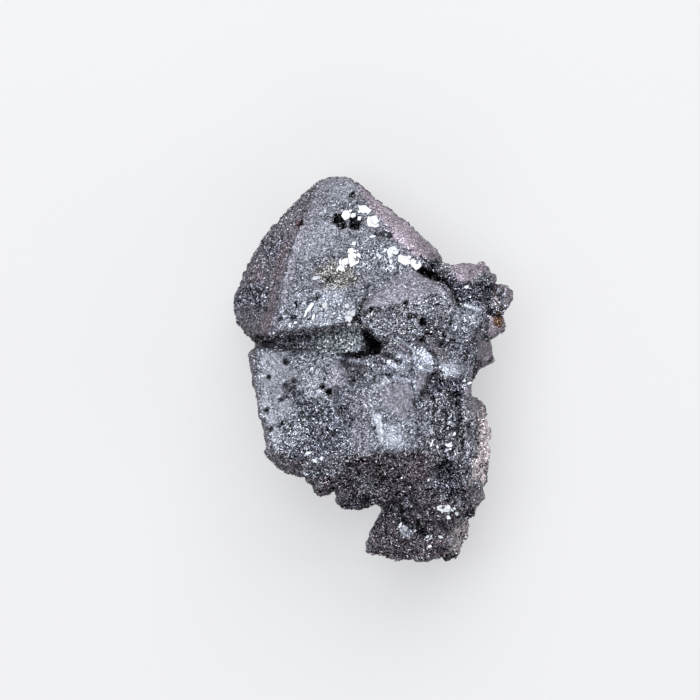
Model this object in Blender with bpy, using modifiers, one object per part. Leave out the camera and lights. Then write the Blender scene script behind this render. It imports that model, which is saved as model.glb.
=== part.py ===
"""A hematite pseudomorph: octahedral crystals grown together on a knobbly matrix, as one solid.

The specimen lies on its broken back. +Z is up, +Y runs to the point of the largest crystal, and
the origin is under the middle of the outline, on the flat break that it rests on.
Corners and centres are in millimetres, seen from above: x to the right, y to the point, z up.
"""

import math
import random

import bmesh
import bpy
from mathutils import Euler, Matrix, Vector, noise
from mathutils.bvhtree import BVHTree
from mathutils.geometry import intersect_point_tri_2d

MM = 0.001

# Driving dimensions, in millimetres.
LENGTH = 40.0
BREAK_LEVEL = 0.0
EDGE_WEAR = 0.3
PLATE_STEP = 0.3
PLATE_WEAR = 0.12
KNOB_RADII = (0.9, 2.2)
KNOB_TOP = 10.0
CRYSTAL_SIZES = (0.9, 2.1)
MATRIX_SWAY = 0.45
MATRIX_VOXEL = 0.66
MATRIX_FRONT = 9.0
MATRIX_RIGHT = 8.5

# Counts and shares.
KNOBS = 80
SCATTERED_CRYSTALS = 44
MATRIX_KEEP = 0.4
SWAY_SCALE = 0.55
CRYSTAL_SINK = 0.33
SEED = 11

COLOUR = (0.16, 0.165, 0.185, 1.0)
ROUGHNESS = 0.42
METALLIC = 0.85

# Lumps of the matrix: (x, y, z, radius).
CORE = [
    (1.5, 5.5, 5.8, 6.6), (-2.5, 0.0, 5.9, 6.8), (3.4, -3.0, 6.2, 7.0), (2.4, -8.0, 6.2, 6.0),
    (5.4, 2.6, 6.6, 5.6), (-4.4, -5.4, 6.6, 5.2), (-5.0, 7.0, 5.4, 5.6), (4.6, -12.2, 5.4, 4.0),
    (-8.8, 2.6, 6.2, 2.5), (9.6, 5.8, 7.4, 3.0), (8.6, -5.6, 7.0, 3.0), (7.0, -10.4, 7.0, 3.2),
]
RIGHT_SIDE = [
    (7.5, 10.2, 11.6, 1.3), (8.8, 9.5, 12.2, 1.9), (10.2, 9.0, 11.6, 1.6), (11.3, 9.7, 10.8, 1.55),
    (9.8, 7.2, 11.4, 2.0), (12.2, 7.4, 9.4, 1.5), (13.8, 7.8, 9.8, 0.95), (13.1, 6.3, 9.4, 1.0),
    (12.3, 4.8, 9.6, 1.35), (11.4, 3.4, 9.8, 1.6), (11.8, 1.6, 9.4, 1.15), (11.1, 0.0, 8.8, 1.25),
    (9.4, 2.2, 12.2, 2.2), (8.6, -1.2, 12.6, 2.2), (9.2, -3.2, 12.8, 2.0), (8.6, -5.6, 13.4, 2.1),
    (10.2, -2.6, 9.4, 1.1), (10.4, -4.6, 9.4, 1.2), (11.0, -6.8, 9.0, 1.35), (8.5, -8.4, 13.2, 2.2),
    (10.6, -9.0, 9.6, 1.5), (10.6, -11.0, 9.4, 1.35), (8.3, -11.2, 12.0, 2.4), (10.1, -13.0, 8.8, 1.3),
    (9.0, -14.6, 8.6, 1.4),
]
FOOT = [
    (6.8, -13.8, 10.6, 2.5), (4.0, -14.4, 9.6, 2.3), (7.6, -16.2, 8.6, 2.0), (7.6, -17.8, 8.0, 1.6),
    (5.5, -17.7, 9.2, 2.4), (2.4, -17.8, 8.6, 2.0), (0.3, -18.4, 7.4, 1.2), (1.4, -16.7, 7.8, 1.5),
    (1.7, -15.3, 8.2, 1.3),
]
BEADS = [
    (-5.4, -12.3, 10.4, 0.95), (-4.1, -12.0, 10.2, 1.0), (-2.3, -13.3, 9.8, 1.2), (-0.8, -13.4, 9.6, 1.1),
    (-6.6, -10.6, 9.4, 1.3),
]
BRIDGES = [
    (4.8, 1.2, 14.2, 1.8), (7.8, 0.4, 13.6, 1.9), (2.4, 0.6, 14.2, 1.5), (0.4, -0.3, 14.2, 1.8),
    (6.6, -2.0, 13.6, 1.9), (-3.6, -8.6, 13.8, 2.3), (-4.6, -10.4, 12.0, 1.9),
]

# The outline of the specimen, seen from above.
OUTLINE = [
    (-5.2, 19.7), (-2.5, 20.0), (0.8, 17.1), (4.6, 13.8), (7.1, 11.4), (11.6, 11.2), (12.9, 8.8),
    (14.5, 8.0), (13.8, 5.4), (12.6, 2.8), (12.7, 1.4), (11.0, -2.0), (12.1, -6.3), (11.9, -11.1),
    (10.4, -15.1), (9.4, -18.4), (6.2, -20.0), (0.2, -19.4), (0.1, -16.4), (0.6, -14.4), (-3.4, -13.9),
    (-6.4, -11.5), (-10.2, -9.7), (-11.7, -6.1), (-13.0, 1.7), (-14.3, 5.6), (-13.4, 9.2), (-10.9, 14.4),
]

# Small crystals that stand out: (x, y, size, turn about each axis in degrees).
SMALL_CRYSTALS = [
    (5.0, 1.0, 1.9, (48, 8, 20)), (8.0, -0.1, 1.6, (40, -12, 50)), (2.6, 0.4, 1.6, (58, 10, 75)),
    (9.6, 5.4, 2.1, (44, 14, 30)), (3.2, -16.6, 1.3, (46, -8, 15)), (7.5, -14.5, 1.4, (52, 6, 60)),
    (5.8, -17.4, 1.1, (38, 20, 35)), (9.2, -3.0, 1.5, (55, -15, 10)), (8.4, -6.6, 1.3, (35, 18, 65)),
    (9.6, -9.6, 1.4, (50, 12, 40)), (-3.2, -10.6, 1.2, (42, -10, 25)),
]

# Hollows: (x, y, half length, half width, turn in degrees, depth).
HOLLOWS = [
    (0.1, 2.2, 1.15, 0.85, 70, 4.2),
    (5.5, 9.9, 1.45, 0.42, -34, 1.5),
    (5.6, 11.2, 0.75, 0.2, -45, 0.8),
    (-3.5, 15.4, 0.75, 0.5, 80, 1.0),
    (-1.8, 15.3, 0.8, 0.42, 100, 1.1),
    (1.2, 13.9, 0.95, 0.32, -10, 0.7),
    (-6.1, 7.5, 0.9, 0.25, 22, 0.6),
    (-5.2, -1.8, 0.4, 0.32, 0, 0.6),
    (-4.5, -2.4, 0.5, 0.38, -15, 0.7),
    (-9.1, 0.7, 0.42, 0.35, 30, 0.6),
    (5.1, 4.8, 0.5, 0.42, 10, 0.8),
    (6.2, 1.8, 0.5, 0.26, -28, 1.0),
    (7.9, -2.6, 1.5, 0.85, 15, 1.3),
]


def clear_scene():
    for obj in list(bpy.data.objects):
        bpy.data.objects.remove(obj)


def new_collection(name):
    collection = bpy.data.collections.new(name)
    bpy.context.scene.collection.children.link(collection)
    return collection


def add_object(name, bm, collection):
    mesh = bpy.data.meshes.new(name)
    bm.to_mesh(mesh)
    bm.free()
    obj = bpy.data.objects.new(name, mesh)
    collection.objects.link(obj)
    return obj


def evaluated_copy(obj, name, collection):
    """The object with its modifiers applied, as a new object."""
    bpy.context.view_layer.update()
    graph = bpy.context.evaluated_depsgraph_get()
    copy = bpy.data.objects.new(name, bpy.data.meshes.new_from_object(obj.evaluated_get(graph)))
    collection.objects.link(copy)
    return copy


def combine(base, others, operation):
    """Joins a collection's objects to the base, or cuts them from it."""
    change = base.modifiers.new(others.name, "BOOLEAN")
    change.operation = operation
    change.solver = "EXACT"
    change.operand_type = "COLLECTION"
    change.collection = others


def hide(collection):
    collection.hide_render = True
    for obj in collection.objects:
        obj.hide_render = True
        obj.display_type = "WIRE"


def hull(name, corners, collection, wear=EDGE_WEAR):
    """A crystal with flat faces: the convex hull of its corners, with its edges worn by a bevel."""
    bm = bmesh.new()
    points = [bm.verts.new(Vector(corner) * MM) for corner in corners]
    made = bmesh.ops.convex_hull(bm, input=points)
    inner = made["geom_interior"] + made["geom_unused"]
    bmesh.ops.delete(bm, geom=list({item for item in inner if item in points}), context="VERTS")
    bmesh.ops.dissolve_limit(bm, angle_limit=math.radians(2), verts=bm.verts, edges=bm.edges)
    bmesh.ops.recalc_face_normals(bm, faces=bm.faces)
    crystal = add_object(name, bm, collection)
    if wear:
        bevel = crystal.modifiers.new("worn_edges", "BEVEL")
        bevel.width = wear * MM
        bevel.segments = 1
        bevel.angle_limit = math.radians(20)
    return crystal


def on_plane(plane, outline, lift=0.0):
    """Corners of a sloping flat face, from its outline seen from above."""
    level, slope_x, slope_y = plane
    return [(x, y, level + lift + slope_x * x + slope_y * y) for x, y in outline]


def plate(name, plane, outline, collection, step=PLATE_STEP):
    """A growth plate: a thin layer that stands one step above a face."""
    hull(name, on_plane(plane, outline, step) + on_plane(plane, outline, -2 * step), collection, PLATE_WEAR)


def upper_crystal(collection):
    front_plane = (19.1, 0.084, -0.468)
    front = on_plane(front_plane, [
        (-4.8, 16.7), (-6.7, 16.9), (-8.7, 12.6), (-10.5, 3.7), (-2.4, 4.7), (3.3, 7.6), (6.0, 11.2),
        (2.1, 13.7), (-0.9, 17.3),
    ])
    tip = [(-5.1, 19.5, 9.0), (-2.6, 19.8, 9.3), (-1.5, 18.2, 10.3)]
    girdle = [
        (-5.7, 19.5, 7.8), (-2.5, 20.1, 8.0), (-9.6, 16.0, 7.6), (-11.6, 13.6, 7.2), (-13.2, 10.6, 7.4),
        (-14.6, 7.1, 7.6), (-14.5, 5.6, 8.2), (-13.2, 3.5, 8.8), (-12.0, 2.5, 9.2), (1.0, 17.2, 9.0),
        (4.9, 14.1, 10.2), (6.3, 12.8, 10.8), (7.4, 11.5, 11.4), (3.0, 4.0, 9.0),
    ]
    back = [(5.6, 11.6, 3.0), (-4.2, 16.2, 2.4), (-10.8, 8.6, 2.2), (-7.5, 3.6, 2.4), (3.2, 4.4, 2.2)]
    hull("upper_crystal", front + tip + girdle + back, collection)
    plate("upper_plate", front_plane, [
        (-7.6, 14.9), (-5.6, 15.4), (-3.4, 14.5), (-0.2, 14.7), (2.0, 13.3), (5.0, 11.4), (2.6, 7.8),
        (-2.5, 4.9), (-10.2, 3.9), (-9.0, 10.6),
    ], collection)
    plate("lower_edge_plate", front_plane, [
        (-9.3, 7.2), (-6.2, 8.6), (-3.4, 7.6), (-1.6, 7.0), (-2.3, 4.9), (-5.8, 4.3), (-10.0, 3.9),
    ], collection, step=1.7 * PLATE_STEP)


def wedge_crystal(collection):
    ridge = [(-1.4, 6.1, 17.2), (7.8, 7.7, 17.6)]
    top = [(2.8, 10.3, 14.9), (4.4, 10.3, 14.8), (7.7, 8.6, 16.4)]
    low = [(-0.9, 3.9, 14.6), (0.8, 2.8, 14.0), (3.2, 2.6, 14.2), (6.2, 3.5, 14.4), (8.5, 6.6, 15.4)]
    deep = [(0.6, 4.6, 9.0), (7.4, 5.2, 9.0), (4.0, 9.0, 9.0)]
    hull("wedge_crystal", ridge + top + low + deep, collection)


def inner_block(collection):
    face = [
        (-5.9, 4.4, 12.4), (-0.6, 5.0, 13.2), (-0.9, 1.9, 14.0), (-3.8, 1.2, 14.6), (-6.1, 1.2, 13.4),
    ]
    deep = [(-8.8, 3.6, 6.0), (0.5, 4.6, 6.0), (-0.5, 0.0, 6.0), (-9.0, 0.0, 6.0), (-8.8, 2.4, 9.0)]
    hull("inner_block", face + deep, collection, PLATE_WEAR)


def lower_left_crystal(collection):
    front_plane = (15.0, 0.08, -0.25)
    front = on_plane(front_plane, [
        (-12.6, 1.5), (-3.8, 1.4), (-2.2, -1.6), (-2.6, -8.8), (-6.6, -9.6), (-10.6, -8.3),
    ])
    girdle = [
        (-13.1, 1.7, 8.5), (-12.1, -2.8, 9.0), (-11.0, -7.8, 11.0), (-10.0, -10.3, 12.4),
        (-8.5, -11.1, 12.0), (-6.6, -11.4, 11.6),
    ]
    back = [(-10.0, 0.5, 2.6), (-8.4, -7.0, 3.4), (-2.0, -8.0, 3.0), (-2.0, 0.0, 3.0), (-5.0, -10.5, 8.0)]
    hull("lower_left_crystal", front + girdle + back, collection)
    plate("lower_left_plate", front_plane, [
        (-12.4, 1.3), (-4.2, 1.2), (-3.0, -1.2), (-4.2, -3.4), (-7.0, -5.2), (-9.4, -4.6), (-11.8, -5.2),
    ], collection, step=0.7 * PLATE_STEP)


def centre_crystal(collection):
    ridge = [(-0.9, -1.7, 16.6), (0.6, -8.2, 18.1)]
    right = [(2.6, -0.6, 16.2), (5.9, -3.4, 16.3), (6.3, -8.4, 16.9)]
    left = [(-3.0, -3.2, 15.9), (-3.2, -9.2, 16.9)]
    under = [(-3.6, -12.7, 11.6), (0.4, -13.7, 10.8), (6.2, -13.2, 11.4)]
    deep = [(-3.0, -11.0, 5.0), (5.6, -11.0, 5.0), (6.0, -2.0, 7.0), (-3.0, 0.0, 7.0)]
    hull("centre_crystal", ridge + right + left + under + deep, collection)
    rib = [(0.0, -4.6, 17.5), (0.4, -4.4, 17.4), (0.5, -7.6, 18.3), (1.1, -7.4, 18.2), (0.7, -8.4, 18.2)]
    shoulder = [(1.3, -5.6, 17.6), (2.7, -6.0, 17.3), (2.9, -7.9, 17.6), (1.4, -8.2, 18.0)]
    foot = [(0.0, -4.6, 16), (2.9, -5.6, 16), (2.9, -8.2, 16), (0.4, -8.4, 16)]
    hull("centre_rib", rib + foot, collection, PLATE_WEAR)
    hull("centre_shoulder", shoulder + foot, collection, PLATE_WEAR)


def octahedron(name, centre, size, turned, collection):
    """A small crystal: a regular octahedron, from its centre to a corner of the given size."""
    corners = []
    for axis in range(3):
        for side in (-size, size):
            corner = Vector((0, 0, 0))
            corner[axis] = side
            corners.append(Vector(centre) + turned @ corner)
    hull(name, corners, collection, wear=0)


def inside_outline(x, y):
    middle = Vector((0, 0))
    ends = zip(OUTLINE, OUTLINE[1:] + OUTLINE[:1])
    return any(intersect_point_tri_2d(Vector((x, y)), middle, Vector(a), Vector(b)) for a, b in ends)


def knobs_on(lumps, dice):
    """Small lumps scattered over the core, kept inside the outline."""
    knobs = []
    while len(knobs) < KNOBS:
        x, y, z, radius = dice.choice(lumps)
        out = Vector([dice.gauss(0, 1) for _ in range(3)]).normalized()
        place = Vector((x, y, z)) + out * radius * 0.96
        size = dice.uniform(*KNOB_RADII)
        buried = any((place - Vector(lump[:3])).length < lump[3] * 0.8 for lump in lumps)
        at_height = BREAK_LEVEL - KNOB_RADII[0] / 2 < place.z < KNOB_TOP
        reach = place + Vector((out.x, out.y, 0)) * size
        if at_height and not buried and inside_outline(reach.x, reach.y):
            knobs.append((*place, size))
    return knobs


def matrix_mass(collection, dice):
    """The knobbly matrix: overlapping lumps melted together, roughened and thinned to few faces."""
    bm = bmesh.new()
    for x, y, z, radius in CORE + knobs_on(CORE, dice) + RIGHT_SIDE + FOOT + BEADS + BRIDGES:
        place = Matrix.Translation(Vector((x, y, z)) * MM)
        bmesh.ops.create_icosphere(bm, subdivisions=3, radius=radius * MM, matrix=place)
    for vert in bm.verts:
        vert.co += Vector(noise.noise_vector(vert.co / MM * SWAY_SCALE)) * MATRIX_SWAY * MM
    mass = add_object("matrix_mass", bm, collection)
    melt = mass.modifiers.new("melt", "REMESH")
    melt.mode = "VOXEL"
    melt.voxel_size = MATRIX_VOXEL * MM
    thin = mass.modifiers.new("thin", "DECIMATE")
    thin.ratio = MATRIX_KEEP
    return mass


def surface_of(obj):
    bm = bmesh.new()
    bm.from_mesh(obj.data)
    tree = BVHTree.FromBMesh(bm)
    bm.free()
    return tree


def top_at(surface, x, y):
    """The highest point of the surface at this place, in millimetres."""
    hit = surface.ray_cast(Vector((x, y, LENGTH)) * MM, Vector((0, 0, -1)))[0]
    return hit.z / MM


def small_crystals(surface, collection):
    """The small octahedra that stand out among the lumps, each sunk in the surface."""
    for i, (x, y, size, turn) in enumerate(SMALL_CRYSTALS):
        turned = Euler([math.radians(angle) for angle in turn]).to_matrix()
        place = (x, y, top_at(surface, x, y) - CRYSTAL_SINK * size)
        octahedron(f"small_crystal_{i}", place, size, turned, collection)


def scattered_crystals(surface, collection, dice):
    """More small octahedra round the sides and the back, where the matrix shows."""
    made = 0
    while made < SCATTERED_CRYSTALS:
        middle = Vector((dice.uniform(-3, 3), dice.uniform(-13, 8), 6))
        out = Vector((dice.gauss(0, 1), dice.gauss(0, 1), dice.uniform(-0.8, 0.7))).normalized()
        hit, facing, _, _ = surface.ray_cast((middle + out * LENGTH) * MM, -out)
        size = dice.uniform(*CRYSTAL_SIZES)
        turned = Euler([dice.uniform(0, math.pi) for _ in range(3)]).to_matrix()
        if hit is None:
            continue
        place = hit / MM - facing * CRYSTAL_SINK * size
        reach = place + Vector((facing.x, facing.y, 0)) * size
        on_matrix = BREAK_LEVEL + CRYSTAL_SIZES[0] < place.z < MATRIX_FRONT or place.x > MATRIX_RIGHT
        if on_matrix and inside_outline(reach.x, reach.y):
            octahedron(f"scattered_crystal_{made}", place, size, turned, collection)
            made += 1


def hollows(surface, collection):
    """Cutters for pits and slots: stretched octahedra that reach down from the surface."""
    for i, (x, y, half_length, half_width, turn, depth) in enumerate(HOLLOWS):
        along = Vector((math.cos(math.radians(turn)), math.sin(math.radians(turn)), 0))
        across = Vector((-along.y, along.x, 0))
        middle = Vector((x, y, top_at(surface, x, y)))
        mouth = [middle + along * half_length * a + across * half_width * b
                 for a, b in ((1, 0.2), (0.5, 1), (-0.6, 0.9), (-1, -0.1), (-0.4, -1), (0.6, -0.8))]
        high = [point + Vector((0, 0, 2)) for point in mouth]
        floor = [middle + (point - middle) * 0.35 - Vector((0, 0, depth)) for point in mouth[::2]]
        hull(f"hollow_{i}", mouth + high + floor, collection, wear=0)


def break_slab(collection):
    """The broken back: a slab that takes off everything below the level it rests on."""
    side, thickness = 80 * MM, 20 * MM
    middle = Matrix.Translation((0, 0, BREAK_LEVEL * MM - thickness / 2))
    bm = bmesh.new()
    bmesh.ops.create_cube(bm, size=1, matrix=middle @ Matrix.Diagonal((side, side, thickness, 1)))
    add_object("break_slab", bm, collection)


def fit_to_length(obj):
    """Scales the solid to its length and puts the origin under the middle of its outline."""
    spots = [vert.co for vert in obj.data.vertices]
    low, high = ([pick(spot[axis] for spot in spots) for axis in range(3)] for pick in (min, max))
    middle = Vector(((low[0] + high[0]) / 2, (low[1] + high[1]) / 2, low[2]))
    scale = LENGTH * MM / (high[1] - low[1])
    obj.data.transform(Matrix.Scale(scale, 4) @ Matrix.Translation(-middle))


def hematite():
    material = bpy.data.materials.new("hematite")
    material.use_nodes = True
    shader = material.node_tree.nodes["Principled BSDF"]
    shader.inputs["Base Color"].default_value = COLOUR
    shader.inputs["Roughness"].default_value = ROUGHNESS
    shader.inputs["Metallic"].default_value = METALLIC
    return material


def main():
    clear_scene()
    dice = random.Random(SEED)
    shown = new_collection("hematite_pseudomorph_specimen")
    grown = new_collection("grown")
    crystals = new_collection("crystals")
    small = new_collection("small")
    cuts = new_collection("cuts")

    for crystal in (upper_crystal, wedge_crystal, inner_block, lower_left_crystal, centre_crystal):
        crystal(crystals)
    mass = matrix_mass(grown, dice)
    combine(mass, crystals, "UNION")
    cluster = evaluated_copy(mass, "cluster", grown)

    surface = surface_of(cluster)
    small_crystals(surface, small)
    scattered_crystals(surface, small, dice)
    hollows(surface, cuts)
    break_slab(cuts)
    combine(cluster, small, "UNION")
    combine(cluster, cuts, "DIFFERENCE")

    specimen = evaluated_copy(cluster, "hematite_specimen", shown)
    fit_to_length(specimen)
    specimen.data.materials.clear()
    specimen.data.materials.append(hematite())
    for helpers in (grown, crystals, small, cuts):
        hide(helpers)


main()
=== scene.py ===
# Hematite specimen, dressed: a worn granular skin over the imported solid, small crystals grown on
# it, mirror-bright plates, and a pale floor under soft light. Sizes are in millimetres unless they
# say metres.
import math

import bmesh
import bpy
import numpy as np
from mathutils import Euler, Matrix, Vector
from mathutils.bvhtree import BVHTree


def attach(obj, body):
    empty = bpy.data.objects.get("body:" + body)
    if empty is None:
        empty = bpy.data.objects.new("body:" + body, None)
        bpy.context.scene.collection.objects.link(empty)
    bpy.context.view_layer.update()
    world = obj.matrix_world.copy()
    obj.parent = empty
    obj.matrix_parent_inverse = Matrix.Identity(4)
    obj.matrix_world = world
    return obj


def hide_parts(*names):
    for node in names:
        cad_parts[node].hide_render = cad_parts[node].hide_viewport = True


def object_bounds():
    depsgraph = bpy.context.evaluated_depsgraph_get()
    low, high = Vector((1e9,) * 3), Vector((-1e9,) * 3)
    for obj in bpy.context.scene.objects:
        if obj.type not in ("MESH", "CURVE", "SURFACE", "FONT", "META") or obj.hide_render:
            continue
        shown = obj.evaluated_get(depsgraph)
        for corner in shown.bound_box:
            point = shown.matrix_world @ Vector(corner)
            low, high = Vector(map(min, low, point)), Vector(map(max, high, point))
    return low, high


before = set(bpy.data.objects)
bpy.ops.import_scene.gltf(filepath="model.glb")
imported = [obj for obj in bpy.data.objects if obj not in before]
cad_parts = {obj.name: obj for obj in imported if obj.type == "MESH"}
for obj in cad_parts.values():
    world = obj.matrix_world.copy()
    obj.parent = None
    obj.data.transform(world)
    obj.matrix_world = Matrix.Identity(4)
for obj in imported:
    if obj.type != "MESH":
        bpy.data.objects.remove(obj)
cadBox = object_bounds()
nodeName = "hematite_specimen"
mm = 0.001  # metres in a millimetre
skyHigh = 40.0  # a height above everything, to look down from

# Linear colours that the zones below are painted with.
palette = {
    "iron": (0.28, 0.291, 0.34),
    "mauve": (0.218, 0.213, 0.256),
    "paleBlue": (0.31, 0.331, 0.39),
    "rose": (0.24, 0.207, 0.243),
    "purple": (0.184, 0.15, 0.178),
    "lead": (0.186, 0.172, 0.202),
    "brown": (0.185, 0.15, 0.178),
    "slate": (0.115, 0.12, 0.155),
    # a near-black painted into creases, holes and hollows as the shade that falls in them
    "paintedShade": (0.025, 0.027, 0.04),
    "crust": (0.465, 0.402, 0.425),
    "olive": (0.23, 0.222, 0.20),
    "ochre": (0.17, 0.085, 0.04),
    "rust": (0.12, 0.05, 0.032),
    "green": (0.2, 0.222, 0.245),
}


def linked(name, data):  # a new object in the scene
    made = bpy.data.objects.new(name, data)
    bpy.context.scene.collection.objects.link(made)
    return made


# Fields that vary over space.

# Large odd numbers that keep the numbers of neighbouring cells, seeds and turns apart.
cellOdds, seedOdd, turnOdd = (73856093, 19349663, 83492791), 7919, 104729
stirOdds, stirShift = (0xFF51AFD7ED558CCD, 0xC4CEB9FE1A85EC53), np.uint64(33)


def shuffled(cell, seed):  # three even numbers from 0 to 1 for each whole-numbered cell
    key = np.zeros(len(cell), np.uint64)
    for column, odd in zip(cell.astype(np.int64).astype(np.uint64).T, cellOdds):
        key ^= column * np.uint64(odd)
    found = []
    for turn in range(3):
        number = key + np.uint64(seed * seedOdd + turn * turnOdd)
        for odd in stirOdds:
            number = (number ^ (number >> stirShift)) * np.uint64(odd)
        found.append((number ^ (number >> stirShift)).astype(np.float64) / 2.0**64)
    return np.stack(found, axis=1)


def softNoise(points, size, seed):  # smooth noise from -1 to 1, with lumps about size across
    at = points / size
    cell = np.floor(at)
    part = at - cell
    part = part * part * (3 - 2 * part)
    total = np.zeros(len(points))
    for corner in np.ndindex(2, 2, 2):
        share = np.prod(np.where(corner, part, 1 - part), axis=1)
        total += share * shuffled(cell + corner, seed)[:, 0]
    return total * 2 - 1


def layered(points, layers):  # soft noises added up, each with its size, strength and seed
    return sum(softNoise(points, size, seed) * strength for size, strength, seed in layers)


# Each point's nearest scattered centre: the way from it and its own three numbers.
def cells(points, size, seed):
    home = np.floor(points / size)
    nearest = np.full(len(points), np.inf)
    away = np.zeros_like(points)
    own = np.zeros_like(points)
    for step in np.ndindex(3, 3, 3):
        cell = home + np.array(step) - 1
        numbers = shuffled(cell, seed)
        offset = points - (cell + numbers) * size
        distance = np.einsum("ij,ij->i", offset, offset)
        closer = distance < nearest
        nearest[closer] = distance[closer]
        away[closer] = offset[closer]
        own[closer] = numbers[closer]
    return away, own


# Flat facets at chance slants, from -1 to 1, with small steps between them.
def faceted(points, size, seed, steep=1.4, step=0.7):
    away, own = cells(points, size, seed)
    slant = unitRows(own - 0.5)
    slope = np.einsum("ij,ij->i", away, slant) / size
    return np.clip(slope * steep + (own[:, 0] - 0.5) * step, -1, 1)


def eased(value, low, high):  # 0 below low, 1 above high, smooth between
    share = np.clip((value - low) / (high - low), 0, 1)
    return share * share * (3 - 2 * share)


def unitRows(vectors):
    return vectors / np.maximum(np.linalg.norm(vectors, axis=1, keepdims=True), 1e-12)


def awayFrom(flat, path):  # distance to a path of straight runs
    nearest = np.full(len(flat), np.inf)
    for start, end in zip(path, path[1:]):
        start, run = np.array(start), np.subtract(end, start)
        share = np.clip((flat - start) @ run / (run @ run), 0, 1)
        nearest = np.minimum(nearest, np.linalg.norm(flat - start - share[:, None] * run, axis=1))
    return nearest


def insideBy(flat, outline):  # how far inside a closed outline, and below 0 outside it
    closed = outline + outline[:1]
    inside = np.zeros(len(flat), bool)
    for (x0, y0), (x1, y1) in zip(closed, closed[1:]):
        if y0 != y1:
            crosses = (flat[:, 1] < y0) != (flat[:, 1] < y1)
            inside ^= crosses & (flat[:, 0] < x0 + (x1 - x0) * (flat[:, 1] - y0) / (y1 - y0))
    return np.where(inside, 1, -1) * awayFrom(flat, closed)


# Zones: where the surface is smooth, bright, stained or dark.

# calm is 1 where smooth, 0 where grainy and below 0 where rougher still. cover is how far a zone
# hides what lies under it, and light is a share of its finish's own brightness, tuned to the
# brightness each zone should show: in notches, recesses and on faces turned from the light it is
# raised as painted fill light, and on lit knobs and faces as a painted highlight. rise is how far a
# facet stands out, fray and soft are how uneven and how wide its edge is, and blotch is how far
# dark clumps show through it.
usual = {  # what a row below doesn't say
    "facet": dict(calm=0.0, cover=0.95, light=1.0, rise=0.0, fray=1.0, soft=0.13, blotch=0.2),
    # a crease is painted near-black as the shade in it, and a crest pale blue as a highlight along
    # it
    "crease": dict(finish="paintedShade", calm=-0.2, cover=0.7, light=1.0),
    "crest": dict(finish="paleBlue", calm=0.7, cover=0.9, light=1.0),
    "lean": dict(calm=0.0, light=1.0),
}

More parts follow.
